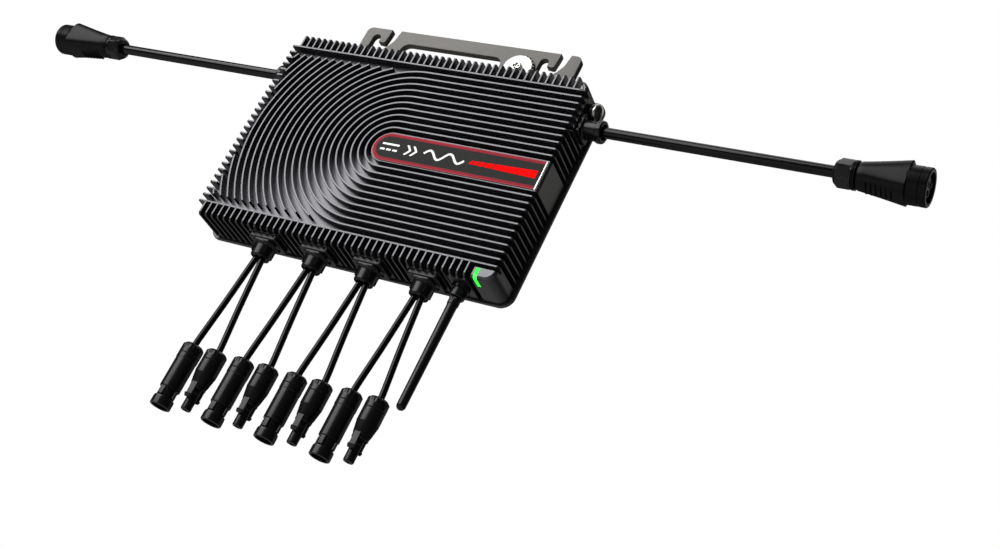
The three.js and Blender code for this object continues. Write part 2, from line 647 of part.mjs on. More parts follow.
// The plug half: a shouldered barrel, two latch arms and a nose
function dcPlug() {
  const tail = -NUT_WALL - GAP;
  const [shoulder, nose, end] = [-38, 4.7, -58.5];
  const profile = [[0, tail], [TAIL_RADIUS, tail], [TAIL_RADIUS, BARREL_TOP], [BARREL, BARREL_TOP]];
  profile.push([BARREL, -24], [7.4, shoulder], [nose, shoulder], [nose, end], [0, end]);
  const latchEnd = shoulder - 10.5;
  const latchHalf = 3;
  // An arm or a barb on both sides, between two distances from the axis
  const pair = (near, far, top) => [-1, 1].map((side) => {
    const low = Math.min(side * near, side * far);
    return block([-latchHalf, low, latchEnd], [latchHalf, low + far - near, top]);
  });
  const latches = [...pair(5.6, 8, shoulder + 4), ...pair(6.6, 9.2, latchEnd + 3)];
  return cut(join([turned(profile, 12), ...latches]), [rod(2.4, end - 1.5, end + 12.5, 8)]);
}

// Each lead hangs in its own group at its point of flex, in the gland's mouth
function dcLead(number, side, x, kind) {
  const lead = new THREE.Group();
  const start = side * DC_SPREAD;
  const end = side * PLUG_SPREAD;
  const drop = PLUG_TOP - DC_MOUTH;
  lead.position.set(x + start, PORT_DEPTH, DC_MOUTH);
  const path = [[0, 0, 2.5], [0, 0, -2], [(end - start) * 0.5, 0, drop * 0.52], [end - start, 0, drop + 6]];
  path.push([end - start, 0, drop - NUT_WALL]);
  add(lead, `dc_cable_${number}_${kind}`, cable(path, DC_CABLE), CABLE_JACKET);
  const plug = new THREE.Group();
  plug.position.set(end - start, 0, drop);
  add(plug, `dc_nut_${number}_${kind}`, dcNut(), PLASTIC);
  add(plug, `dc_${kind}_${number}`, kind === 'socket' ? dcSocket() : dcPlug(), PLASTIC);
  lead.add(plug);
  inverter.add(lead);
}

for (let i = 0; i < INPUTS; i += 1) {
  const x = FIRST_INPUT + i * INPUT_STEP;
  const gland = add(inverter, `dc_gland_${i + 1}`, dcGland(), PLASTIC);
  gland.position.set(x, PORT_DEPTH, 0);
  dcLead(i + 1, -1, x, 'socket');
  dcLead(i + 1, 1, x, 'plug');
}

// ---- alternating-current glands and leads --------------------------------------------------

// Drawn along +Z from the housing's side outwards
function acGland(base, mouth) {
  const [wide, thick] = AC_FLANGE;
  const flange = slab(roundedRect(wide / 2, wide / 2, 3), 0, thick, 2).rotateX(-Math.PI / 2);
  flange.translate(0, 0, base + thick);
  const step = mouth - 6; // where the hub widens into the ring
  const root = base + thick - 1;
  const profile = [[0, root], [AC_HUB, root], [AC_HUB, step], [AC_RING, step + 0.6]];
  profile.push([AC_RING, mouth - 1.2], [AC_RING - 1.2, mouth], [0, mouth]);
  const tail = rod(SPIGOT, base - AC_TAIL, base + 1, 12);
  const reach = AC_CABLE / Math.cos((AC_SWING * Math.PI) / 180) + 2 * GAP;
  const side = AC_CABLE + GAP + 0.1;
  const depth = Math.hypot(AC_CABLE, AC_CABLE_ROOT) + GAP; // the cable's inner end swings inside
  const pocket = block([-reach, -side, mouth - depth], [reach, side, mouth + 1]);
  return cut(join([flange, turned(profile, 16), tail]), [pocket]);
}

const AC_NUT = 15;
const AC_NUT_RADIUS = 12.5; // to the corners of the hexagon
const AC_NUT_WALL = 5;
const AC_STEP_RING = 3; // length of the ring between the nut and the barrel

function acNut() {
  const outline = [[0, 0], [9.4, 0], [AC_NUT_RADIUS, 3.5], [AC_NUT_RADIUS, AC_NUT], [0, AC_NUT]];
  const bores = [rod(AC_CABLE + GAP, -1, AC_NUT_WALL + 1), rod(9.2, AC_NUT_WALL, AC_NUT + 1)];
  return cut(turned(outline, 6), bores);
}

// The coupler's body: a stepped ring, a barrel that widens towards the front, and a front collar
function acConnector(length) {
  const ringEnd = AC_NUT + AC_STEP_RING;
  const flareEnd = length - 17;
  const collarRadius = 16;
  const waist = 11.6; // half the barrel's height where it starts
  const [up, down] = [15.8, 18.2]; // and where it meets the collar
  const outline = new THREE.Shape();
  outline.moveTo(ringEnd - 1, waist);
  outline.lineTo(flareEnd, up);
  outline.lineTo(flareEnd, -down);
  outline.lineTo(flareEnd - 4, -down);
  outline.lineTo(ringEnd - 1, -waist);
  const bevel = { bevelEnabled: true, bevelThickness: 4, bevelSize: 3, bevelOffset: -3, bevelSegments: 2 };
  const depth = 2 * waist - 0.2;
  const barrel = new THREE.ExtrudeGeometry(outline, { depth, ...bevel }).translate(0, 0, -depth / 2);
  // the outline's x becomes the lead's +Z, its y becomes the lead's X
  barrel.applyMatrix4(new THREE.Matrix4().set(0, 1, 0, 0, 0, 0, 1, 0, 1, 0, 0, 0, 0, 0, 0, 1));
  const tail = rod(7.4, AC_NUT_WALL + GAP, AC_NUT + 1, 12);
  const ring = rod(12.4, AC_NUT + GAP, ringEnd, 16);
  const collar = rod(collarRadius, flareEnd - 1, length, 18);
  const recess = length - 9;
  const face = rod(collarRadius - 3.6, recess, length + 1, 14);
  const core = rod(8.4, recess - 1, length - 2, 12);
  return join([cut(join([tail, ring, barrel, collar]), [face]), core]);
}

function acLead(name, side) {
  const lead = new THREE.Group();
  lead.position.set(side * AC_MOUTH[name], PORT_DEPTH, AC_HEIGHT[name]);
  lead.rotation.y = (side * Math.PI) / 2;
  const run = AC_PLUG[name] - AC_MOUTH[name];
  const path = [[0, 0, -AC_CABLE_ROOT], [0, 0, run / 2], [0, 0, run + AC_NUT_WALL]];
  const jacket = cable(path, AC_CABLE, 6, 5);
  add(lead, `ac_cable_${name}`, jacket, CABLE_JACKET);
  const plug = new THREE.Group();
  plug.position.z = run;
  if (side > 0) plug.rotation.z = Math.PI;
  add(plug, `ac_nut_${name}`, acNut(), PLASTIC);
  add(plug, `ac_connector_${name}`, acConnector(AC_PLUG_LENGTH[name]), PLASTIC);
  lead.add(plug);
  inverter.add(lead);
}

for (const [name, side] of AC_SIDES) {
  const base = side > 0 ? TIP_RIGHT : -TIP_LEFT;
  const gland = add(inverter, `ac_gland_${name}`, acGland(base, AC_MOUTH[name]), PLASTIC);
  gland.rotation.y = (side * Math.PI) / 2;
  gland.position.set(0, PORT_DEPTH, AC_HEIGHT[name]);
  acLead(name, side);
}

// ---- vent plug and antenna -----------------------------------------------------------------

function ventPlug() {
  const [hub, rim, length] = [7.4, 8.2, 8];
  const profile = [[0, -6], [VENT_TAIL, -6], [VENT_TAIL, 0], [hub, 0], [hub, length - 4]];
  profile.push([rim, length - 3.4], [rim, length - 1], [rim - 1.2, length], [6, length]);
  profile.push([5.6, length - 0.8], [0, length - 0.8]);
  return turned(profile, 14);
}

const vent = add(inverter, 'vent_plug', ventPlug(), STEEL);
vent.rotation.y = Math.PI / 2;
vent.position.set(TIP_RIGHT, PORT_DEPTH, VENT_HEIGHT);

function antennaBase() {
  const top = -TIP_Z;
  const low = top - ANTENNA_FOOT;
  const [flange, foot, bore] = [8.6, 7.2, ANTENNA_THREAD + 0.4];
  const profile = [[0, top + 14], [VENT_TAIL, top + 14], [VENT_TAIL, top], [flange, top]];
  profile.push([flange, top - 4], [foot, top - 4], [foot, low], [bore, low], [bore, low + 5], [0, low + 5]);
  return turned(profile, 14);
}

function antennaWhip() {
  const top = -TIP_Z - ANTENNA_FOOT - GAP;
  const tipRadius = ANTENNA_RADIUS - 0.5;
  const collar = ANTENNA_RADIUS + 0.6;
  const profile = [[0, top + 4.5], [ANTENNA_THREAD, top + 4.5], [ANTENNA_THREAD, top], [collar, top]];
  profile.push([collar, top - 7], [ANTENNA_RADIUS, top - 8.5], [tipRadius, ANTENNA_TIP + tipRadius]);
  for (let i = 1; i <= 3; i += 1) {
    const angle = (i * Math.PI) / 6;
    profile.push([tipRadius * Math.cos(angle), ANTENNA_TIP + tipRadius * (1 - Math.sin(angle))]);
  }
  profile[profile.length - 1][0] = 0;
  return turned(profile, 14);
}

add(inverter, 'antenna_base', antennaBase(), STEEL).position.set(ANTENNA_X, PORT_DEPTH, 0);
add(inverter, 'antenna_whip', antennaWhip(), PLASTIC).position.set(ANTENNA_X, PORT_DEPTH, 0);

// ---- electronics in the cavity -------------------------------------------------------------

const BOARD_BACK = HOUSING_BACK - 3;
const BOARD_THICK = 1.6;
const BOARD_FRONT = BOARD_BACK - BOARD_THICK;
const TRANSFORMER = [34, 13, 30];
const TRANSFORMER_Z = -5;
const BOARD_X = CAVITY_X - 12;
const BOARD_Z = CAVITY_Z - 26;

// The populated board: the plate and what is soldered to it, as one piece
function circuitBoard() {
  const plate = slab(roundedRect(BOARD_X, BOARD_Z, 3), BOARD_FRONT, BOARD_BACK, 3);
  const parts = [plate];
  const part = (x, z, wide, tall, deep) => {
    const low = [x - wide / 2, BOARD_FRONT - deep, z - tall / 2];
    parts.push(block(low, [x + wide / 2, BOARD_FRONT + 1, z + tall / 2]));
  };
  for (let i = 0; i < INPUTS; i += 1) {
    const x = FIRST_INPUT + i * INPUT_STEP;
    for (const offset of [-14, 0, 14]) {
      const capacitor = rod(5, 0, 12, 8).rotateX(Math.PI / 2);
      parts.push(capacitor.translate(x + offset, BOARD_FRONT + 0.5, 14 - BOARD_Z));
    }
    part(x, 34, 18, 6, 4); // input switches
  }
  part(116, 36, 28, 20, 8); // radio module
  part(-118, 42, 16, 28, 12); // grid relays
  part(120, -8, 20, 22, 12); // output choke
  return join(parts);
}

// A planar transformer: a winding bobbin between two ferrite halves
function transformer() {
  const [wide, deep, tall] = TRANSFORMER;
  const core = block([-wide / 2, -deep, -tall / 2], [wide / 2, 0, tall / 2]);
  const [narrower, thinner, longer] = [5, 2.5, 5];
  const low = [narrower - wide / 2, thinner - deep, -tall / 2 - longer];
  const winding = block(low, [wide / 2 - narrower, -thinner, tall / 2 + longer]);
  return join([core, winding]);
}

add(inverter, 'circuit_board', circuitBoard(), { color: 0x1d5a32, roughness: 0.5, metalness: 0.1 });
for (let i = 0; i < INPUTS; i += 1) {
  const piece = add(inverter, `transformer_${i + 1}`, transformer(), { color: 0x2a2a2c, roughness: 0.7 });
  piece.position.set(FIRST_INPUT + i * INPUT_STEP, BOARD_FRONT - TOUCH, TRANSFORMER_Z);
}

export default inverter;
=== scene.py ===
# Looks of a multi-input solar inverter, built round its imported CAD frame.
# Sizes below are in millimetres, in the part's own frame, and become metres when a piece is made.

import json
import math

import bmesh
import bpy
from mathutils import Matrix, Vector
from mathutils.geometry import tessellate_polygon


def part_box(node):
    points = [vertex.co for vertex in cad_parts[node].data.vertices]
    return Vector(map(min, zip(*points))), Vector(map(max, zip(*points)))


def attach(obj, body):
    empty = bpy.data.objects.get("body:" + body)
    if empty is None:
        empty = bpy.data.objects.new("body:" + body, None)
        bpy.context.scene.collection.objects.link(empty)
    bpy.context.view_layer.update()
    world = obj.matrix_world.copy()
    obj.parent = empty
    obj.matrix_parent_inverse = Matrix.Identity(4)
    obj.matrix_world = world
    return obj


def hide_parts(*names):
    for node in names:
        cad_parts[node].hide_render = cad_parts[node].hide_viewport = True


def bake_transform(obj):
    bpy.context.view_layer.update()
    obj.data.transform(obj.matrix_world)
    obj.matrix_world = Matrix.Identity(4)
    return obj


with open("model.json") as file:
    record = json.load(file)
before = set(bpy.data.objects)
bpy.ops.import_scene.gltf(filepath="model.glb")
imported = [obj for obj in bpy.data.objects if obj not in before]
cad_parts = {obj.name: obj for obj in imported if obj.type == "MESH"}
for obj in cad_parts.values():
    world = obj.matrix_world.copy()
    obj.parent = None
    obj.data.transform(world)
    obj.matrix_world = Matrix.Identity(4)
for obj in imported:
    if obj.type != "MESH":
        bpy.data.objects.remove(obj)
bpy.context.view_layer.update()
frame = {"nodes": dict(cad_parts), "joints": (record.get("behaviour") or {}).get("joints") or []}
scene = bpy.context.scene
MM = 0.001


def limits(node):
    low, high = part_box(node)
    return low / MM, high / MM


def middle(node):
    """The X and Z of a node's middle."""
    low, high = limits(node)
    return (low.x + high.x) / 2, (low.z + high.z) / 2


def pivot(joint):
    found = [j for j in frame["joints"] if j["name"] == joint]
    return Vector(found[0]["pos_m"]) / MM


# ---- driving dimensions, from the frame ----

CASE_LOW, CASE_HIGH = limits("heatsink_housing")
TIP_Z = CASE_HIGH.z  # tips of the top and bottom fins
PITCH = TIP_Z / 15.03  # spacing of every ridge and fin
TIP_LEFT = CASE_LOW.x
TIP_RIGHT = CASE_HIGH.x
FRONT = CASE_LOW.y
CASE_BACK = CASE_HIGH.y
RIDGE = 1.9  # width of a ridge's top
RIDGE_HEIGHT = 8.0
FLOOR = FRONT + RIDGE_HEIGHT
WALL_LEFT = -21.5 * PITCH
WALL_RIGHT = 21 * PITCH
RAIL_Z = 13 * PITCH
WALL_Z = RAIL_Z + RIDGE / 2
FIN_ROUND = 0.4 * PITCH
PORT_Y = FRONT + 3 * PITCH
AC_PAD = 12.5  # half the height of the pads behind the side glands
DC_PAD = 17.2  # half the width of the pads behind the input glands
ANTENNA_PAD = 10.0
LABEL_HALF = 2.09 * PITCH
LABEL_RIGHT = 22 * PITCH
PAD_HALF = 2.25 * PITCH
DRAFT = 0.03  # how much a ridge's half width grows for each millimetre of depth
EDGE = 0.45  # rounding of a ridge's top edges
SUNK = 0.5  # how far a ridge reaches into the metal below it
FRONT_WALL = 4.0
SCREW_HOLE = 2.5
EARTH_HOLE = 2.9
SMALL_SCREW = (4, 2.6, 1.9)  # radius and height of the head, radius of the shank
SHARP = 32  # degrees between two faces above which their shared edge is shaded sharp

X = Vector((1, 0, 0))
Y = Vector((0, 1, 0))
Z = Vector((0, 0, 1))


# ---- mesh helpers ----

class Solid:
    """Collects closed surfaces, in millimetres, that become one object."""

    def __init__(self):
        self.points = []
        self.faces = []

    def add(self, points, faces, place=Matrix()):
        base = len(self.points)
        self.points += [place @ Vector(p) for p in points]
        self.faces += [[base + i for i in face] for face in faces]


def loft(solid, rings, place=Matrix(), closed=False):
    """Joins rings of equal length; the ends are capped, or joined to each other when closed."""
    count = len(rings[0])
    faces = []
    for i in range(len(rings) if closed else len(rings) - 1):
        here = i * count
        there = (i + 1) % len(rings) * count
        for k in range(count):
            n = (k + 1) % count
            faces.append([here + k, here + n, there + n, there + k])
    if not closed:
        faces.append(list(range(count))[::-1])
        faces.append([(len(rings) - 1) * count + k for k in range(count)])
    solid.add([p for ring in rings for p in ring], faces, place)


def turned(solid, profile, segments=40, place=Matrix(), closed=False, shape=None):
    """A turned form about Z from (radius, height) pairs; shape changes the radius with the angle."""
    rings = []
    for radius, height in profile:
        ring = []
        for k in range(segments):
            angle = 2 * math.pi * k / segments
            r = radius * (shape(angle, height) if shape else 1)
            ring.append((r * math.cos(angle), r * math.sin(angle), height))
        rings.append(ring)
    loft(solid, rings, place, closed)


def inset(loop, distance):
    """Moves each corner of a counter-clockwise loop inwards; a clockwise hole grows."""
    moved = []
    for i, corner in enumerate(loop):
        before = Vector(corner) - Vector(loop[i - 1])
        after = Vector(loop[(i + 1) % len(loop)]) - Vector(corner)
        a = Vector((-before.y, before.x)).normalized()
        b = Vector((-after.y, after.x)).normalized()
        both = a + b
        scale = min(2 / max(both.length_squared, 1e-6), 2.0)  # limited where a corner is acute
        moved.append(tuple(Vector(corner) + both * scale * distance))
    return moved


def rounding(radius, steps):
    """(height from the face, inset) pairs of a quarter round."""
    turn = [math.pi / 2 * k / steps for k in range(steps + 1)]
    return [(radius * (1 - math.sin(a)), radius * (1 - math.cos(a))) for a in reversed(turn)]


def plate(solid, loops, low, high, edges=(0.0, 0.0), place=Matrix(), steps=2):
    """A flat form: an outline and its holes, from one height to another, with rounded edges."""
    ends = [rounding(size, steps) if size else [(0, 0)] for size in edges]
    levels = [(low + h, d) for h, d in ends[0]]
    levels += [(high - h, d) for h, d in reversed(ends[1])]
    points = []
    faces = []
    for height, distance in levels:
        for loop in loops:
            points += [(x, y, height) for x, y in inset(loop, distance)]
    total = sum(len(loop) for loop in loops)
    for i in range(len(levels) - 1):
        start = i * total
        for loop in loops:
            for k in range(len(loop)):
                a = start + k
                b = start + (k + 1) % len(loop)
                faces.append([a, b, b + total, a + total])
            start += len(loop)
    for level in (0, len(levels) - 1):
        flat = [[Vector((x, y, 0)) for x, y in inset(loop, levels[level][1])] for loop in loops]
        faces += [[level * total + i for i in face] for face in tessellate_polygon(flat)]
    solid.add(points, faces, place)


def arc(x, y, radius, start, end, steps):
    """Points of an arc, in degrees, both ends included."""
    turns = [math.radians(start + (end - start) * k / steps) for k in range(steps + 1)]
    return [(x + radius * math.cos(a), y + radius * math.sin(a)) for a in turns]


def rounded(half_x, half_y, radius, x=0.0, y=0.0, steps=6):
    """A rectangle with rounded corners, counter-clockwise."""
    loop = []
    spots = [(1, -1, -90), (1, 1, 0), (-1, 1, 90), (-1, -1, 180)]
    for side, end, turn in spots:
        spot = (x + side * (half_x - radius), y + end * (half_y - radius))
        loop += arc(*spot, radius, turn, turn + 90, steps)
    return loop


def circle(radius, x=0.0, y=0.0, steps=32):
    return arc(x, y, radius, 0, 360 - 360 / steps, steps - 1)


def hole(loop):
    return list(reversed(loop))


# FACING_FRONT draws an outline in X and Z with its height along Y, FACING_RIGHT one in Y and Z along X
FACING_FRONT = Matrix(((1, 0, 0, 0), (0, 0, 1, 0), (0, 1, 0, 0), (0, 0, 0, 1)))
FACING_RIGHT = Matrix(((0, 0, 1, 0), (1, 0, 0, 0), (0, 1, 0, 0), (0, 0, 0, 1)))


def slab(solid, loops, front, back, edges=(0.0, 0.0), steps=2):
    plate(solid, loops, front, back, edges, FACING_FRONT, steps)


def block(solid, low, high, edge=0.6, place=Matrix()):
    """A box with rounded edges all round."""
    half = [(high[i] - low[i]) / 2 for i in range(3)]
    loop = rounded(half[0], half[1], edge, low[0] + half[0], low[1] + half[1], 2)
    plate(solid, [loop], low[2], high[2], (edge * 0.98, edge * 0.98), place)


def tube(solid, path, radius, segments=20, place=Matrix(), cap=0.0):
    """A round bar along a list of points; cap rounds its ends."""
    points = [Vector(p) for p in path]
    rings = []
    side = None
    for i, point in enumerate(points):
        ahead = (points[min(i + 1, len(points) - 1)] - points[max(i - 1, 0)]).normalized()
        if side is None:
            side = ahead.orthogonal().normalized()
        side = (side - ahead * side.dot(ahead)).normalized()
        other = ahead.cross(side)
        spots = [(point, radius)]
        if cap and i == 0:
            spots = [(point, radius - cap), (point + ahead * cap, radius)]
        if cap and i == len(points) - 1:
            spots = [(point - ahead * cap, radius), (point, radius - cap)]
        for centre, r in spots:
            turns = [2 * math.pi * k / segments for k in range(segments)]
            rings.append([centre + (side * math.cos(a) + other * math.sin(a)) * r for a in turns])
    loft(solid, rings, place)


def curve(corners, steps):
    """Points along a smooth curve through the corners."""
    knots = [Vector(c) for c in corners]
    knots = [2 * knots[0] - knots[1]] + knots + [2 * knots[-1] - knots[-2]]
    points = []
    for i in range(1, len(knots) - 2):
        a, b, c, d = knots[i - 1 : i + 3]
        for k in range(steps):
            t = k / steps
            bend = 2 * b + (c - a) * t + (2 * a - 5 * b + 4 * c - d) * t * t
            points.append((bend + (3 * b - a - 3 * c + d) * t**3) / 2)
    return points + [knots[-2]]


def make(name, solid, material, body="root", stands_for=()):
    """Turns the collected surfaces into an object that rides on a body and stands for CAD nodes.
    """
    mesh = bpy.data.meshes.new(name)
    mesh.from_pydata([p * MM for p in solid.points], [], solid.faces)
    work = bmesh.new()
    work.from_mesh(mesh)
    bmesh.ops.remove_doubles(work, verts=work.verts, dist=1e-8)
    bmesh.ops.recalc_face_normals(work, faces=work.faces)
    work.to_mesh(mesh)
    work.free()
    mesh.polygons.foreach_set("use_smooth", [True] * len(mesh.polygons))
    mesh.set_sharp_from_angle(angle=math.radians(SHARP))
    mesh.materials.append(material)
    piece = bpy.data.objects.new(name, mesh)
    scene.collection.objects.link(piece)
    if body:
        even = piece.modifiers.new("even_shading", "WEIGHTED_NORMAL")
        even.keep_sharp = True
        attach(piece, body)
    if stands_for:
        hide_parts(*stands_for)
    return piece


def twin(node, solid, material, body="root"):
    """Makes the piece that stands for one CAD node, under the node's name."""
    return make(node, solid, material, body, [node])


# ---- materials ----

def finish(name, colour, roughness, metallic=0.0, grain=0.03, grain_size=0.5, mottle=0.25, patch=30,
           edge_wear_and_highlight=None, edge_wear_and_highlight_width=0.4, glow=0.0, gloss=0.5):
    """A procedural finish: uneven colour, uneven gloss, fine grain in the surface, and edges that are worn
    and carry a painted highlight.

    grain is the depth and grain_size the width of the grain; patch is the width of the uneven areas
    and mottle how far their colour varies; the edge colour and its width give edges that are partly wear and
    partly a painted highlight, lighter where light would catch them.
    """
    material = bpy.data.materials.new(name)
    material.use_nodes = True
    tree = material.node_tree
    shader = tree.nodes["Principled BSDF"]
    link = tree.links.new

    def node(kind, **values):
        made = tree.nodes.new(kind)
        for key, value in values.items():
            if hasattr(made, key):
                setattr(made, key, value)
            else:
                made.inputs[key.replace("_", " ")].default_value = value
        return made

    def scaled(source, low, high):
        spread = node("ShaderNodeMapRange")
        spread.inputs["To Min"].default_value = low
        spread.inputs["To Max"].default_value = high
        link(source, spread.inputs["Value"])
        return spread.outputs["Result"]

    place = node("ShaderNodeTexCoord").outputs["Object"]
    cloud = node("ShaderNodeTexNoise", Scale=1000 / patch, Detail=4.0, Roughness=0.6)
    speck = node("ShaderNodeTexNoise", Scale=1000 / grain_size, Detail=3.0, Roughness=0.7)
    link(place, cloud.inputs["Vector"])
    link(place, speck.inputs["Vector"])

    tone = node("ShaderNodeMix", data_type="RGBA", blend_type="MULTIPLY")
    tone.inputs["Factor"].default_value = 1.0
    tone.inputs["A"].default_value = (*colour, 1)
    grey = node("ShaderNodeCombineColor")
    share = scaled(cloud.outputs["Fac"], 1 - mottle, 1 + mottle)
    for channel in ("Red", "Green", "Blue"):
        link(share, grey.inputs[channel])
    link(grey.outputs["Color"], tone.inputs["B"])
    last = tone.outputs["Result"]
    rough = scaled(cloud.outputs["Fac"], roughness * 0.82, min(roughness * 1.18, 1))

    if edge_wear_and_highlight:  # where the surface normal, spread over the edge width, leaves the true one: the edge colour is partly wear and partly a painted highlight
        edge = node("ShaderNodeBevel", samples=4)
        edge.inputs["Radius"].default_value = edge_wear_and_highlight_width * MM
        flat = node("ShaderNodeNewGeometry")
        bend = node("ShaderNodeVectorMath", operation="DOT_PRODUCT")
        link(edge.outputs["Normal"], bend.inputs[0])
        link(flat.outputs["Normal"], bend.inputs[1])
        edge_wear_and_highlight_mask = node("ShaderNodeMapRange")
        edge_wear_and_highlight_mask.inputs["From Min"].default_value = 0.97
        edge_wear_and_highlight_mask.inputs["From Max"].default_value = 0.75
        link(bend.outputs["Value"], edge_wear_and_highlight_mask.inputs["Value"])
        patchy = node("ShaderNodeMath", operation="MULTIPLY")
        link(edge_wear_and_highlight_mask.outputs["Result"], patchy.inputs[0])
        link(scaled(speck.outputs["Fac"], 0.3, 0.9), patchy.inputs[1])
        # mixes in the edge colour: wear together with a painted highlight along the edges
        edge_wear_and_highlight_mix = node("ShaderNodeMix", data_type="RGBA")
        link(patchy.outputs["Value"], edge_wear_and_highlight_mix.inputs["Factor"])
        link(last, edge_wear_and_highlight_mix.inputs["A"])
        edge_wear_and_highlight_mix.inputs["B"].default_value = (*edge_wear_and_highlight, 1)
        last = edge_wear_and_highlight_mix.outputs["Result"]

    bump = node("ShaderNodeBump", Strength=1.0, Distance=grain * MM)
    link(speck.outputs["Fac"], bump.inputs["Height"])
    link(bump.outputs["Normal"], shader.inputs["Normal"])
    shader.inputs["Base Color"].default_value = (*colour, 1)
    link(last, shader.inputs["Base Color"])
    link(rough, shader.inputs["Roughness"])
    shader.inputs["Metallic"].default_value = metallic
    shader.inputs["Specular IOR Level"].default_value = gloss
    # glow makes a colour shine by itself: a real lamp for the status light, a painted glow on the label's
    # inks
    if glow:
        shader.inputs["Emission Color"].default_value = (*colour, 1)
        link(last, shader.inputs["Emission Color"])
        shader.inputs["Emission Strength"].default_value = glow
    return material


# The light edge colours of cast_black and cover_black are a painted highlight: the light grey lines along the
# fin edges and along the cover's rim.
CAST = finish("cast_black", (0.066, 0.066, 0.071), 0.34, 0.92, 0.012, 0.6, 0.3, 40,
              edge_wear_and_highlight=(0.12, 0.12, 0.12), edge_wear_and_highlight_width=0.35)
COVER = finish("cover_black", (0.062, 0.061, 0.058), 0.42, 0.7, 0.03, 0.6, 0.3, 50,
               edge_wear_and_highlight=(0.3, 0.3, 0.28), edge_wear_and_highlight_width=0.5)
BRACKET = finish("bracket_grey", (0.098, 0.092, 0.084), 0.5, 0.15, 0.02, 0.5, 0.1, 60,
                 edge_wear_and_highlight=(0.17, 0.165, 0.155), edge_wear_and_highlight_width=0.5, gloss=0.25)
PLASTIC = finish("moulded_black", (0.004, 0.004, 0.0042), 0.27, 0, 0.003, 0.3, 0.3, 15,
                 edge_wear_and_highlight=(0.01, 0.01, 0.01), gloss=0.22)
COUPLER = finish("coupler_black", (0.003, 0.003, 0.0032), 0.3, 0, 0.004, 0.3, 0.3, 15,
                 edge_wear_and_highlight=(0.01, 0.01, 0.01), gloss=0.08)
JACKET = finish("cable_jacket", (0.002, 0.002, 0.0022), 0.15, 0, 0.001, 0.9, 0.3, 12, gloss=0.15)
RUBBER = finish("seal_rubber", (0.02, 0.02, 0.02), 0.75, 0, 0.04, 0.5, 0.3, 10)
FIELD = finish("label_field", (0.018, 0.019, 0.017), 0.6, 0, 0.01, 0.3, 0.12, 20, gloss=0.06)
INK = (0.5, 0, 0.008, 0.3)  # roughness, metal, depth and width of the grain
BORDER = finish("label_border", (0.24, 0.008, 0.018), *INK, 0.25, 15, gloss=0.06)
BORDER_LINE = finish("label_border_line", (0.45, 0.06, 0.08), *INK, 0.2, 15, gloss=0.06)
# the red and white inks glow a little: a painted glow that makes the print brighter than the lamps light it
RED = finish("label_red", (0.75, 0.001, 0.001), *INK, 0.1, 20, glow=0.2, gloss=0.01)
WHITE = finish("label_white", (0.85, 0.85, 0.84), *INK, 0.06, 10, glow=0.15, gloss=0.1)
SILVER = finish("label_silver", (0.62, 0.58, 0.56), 0.35, 0.6, 0.008, 0.3, 0.1, 10)
LIGHT = finish("status_light", (0.03, 0.75, 0.05), 0.25, 0, 0.01, 0.5, 0.15, 4, glow=2.2)
STEEL = finish("bright_steel", (0.62, 0.62, 0.61), 0.24, 1, 0.006, 0.4, 0.1, 8,
               edge_wear_and_highlight=(0.8, 0.8, 0.8), edge_wear_and_highlight_width=0.2)
ZINC = finish("zinc_disc", (0.66, 0.66, 0.65), 0.5, 0.1, 0.01, 0.4, 0.08, 8,
              edge_wear_and_highlight=(0.3, 0.29, 0.28), edge_wear_and_highlight_width=0.3)
NICKEL = finish("nickel_fitting", (0.36, 0.35, 0.33), 0.3, 1, 0.008, 0.4, 0.12, 8,
                edge_wear_and_highlight=(0.6, 0.58, 0.55), edge_wear_and_highlight_width=0.25)
BOARD = finish("circuit_board", (0.01, 0.09, 0.03), 0.45, 0, 0.02, 0.6, 0.35, 6,
               edge_wear_and_highlight=(0.3, 0.22, 0.08), edge_wear_and_highlight_width=0.3)
FERRITE = finish("ferrite", (0.03, 0.03, 0.033), 0.7, 0.2, 0.05, 0.7, 0.25, 8,
                 edge_wear_and_highlight=(0.08, 0.08, 0.08), edge_wear_and_highlight_width=0.5)


# ---- ridges and fins ----

def station(tip, inward, side, depth):
    """One cross-section of a ridge: its rounded top is at tip, and its sides widen with depth."""
    half = RIDGE / 2
    corner = EDGE * 0.3
    profile = [(half + DRAFT * depth, depth), (half, EDGE), (half - corner, corner), (half - EDGE, 0)]
    spots = profile + [(-across, down) for across, down in reversed(profile)]
    return [tip + side * across + inward * down for across, down in spots]


def wrap(outward, tip, front_to, side, offset, wall_depth, front_depth):
    """A fin's edge: from the back of a wall, round the corner, and along the front to front_to."""
    start = outward * tip + offset
    rings = [
        station(start + Y * CASE_BACK, -outward, side, wall_depth),
        station(start + Y * (FRONT + FIN_ROUND), -outward, side, wall_depth),
    ]
    centre = outward * (tip - FIN_ROUND) + offset + Y * (FRONT + FIN_ROUND)
    for degrees in (1, 18, 36, 54, 72, 89):
        turn = math.radians(degrees)
        out = outward * math.cos(turn) - Y * math.sin(turn)
        rings.append(station(centre + out * FIN_ROUND, -out, side, FIN_ROUND))
    rings.append(station(outward * (tip - FIN_ROUND) + offset + Y * FRONT, Y, side, front_depth))
    rings.append(station(outward * front_to + offset + Y * FRONT, Y, side, front_depth))
    return rings


def ring_stations(radius, start, end, step=3.0):
    count = max(2, math.ceil((end - start) / step))
    rings = []
    for k in range(count + 1):
        angle = math.radians(start + (end - start) * k / count)
        out = Vector((math.cos(angle), 0, math.sin(angle)))
        rings.append(station(out * radius + Y * FRONT, Y, out, RIDGE_HEIGHT + SUNK))
    return rings


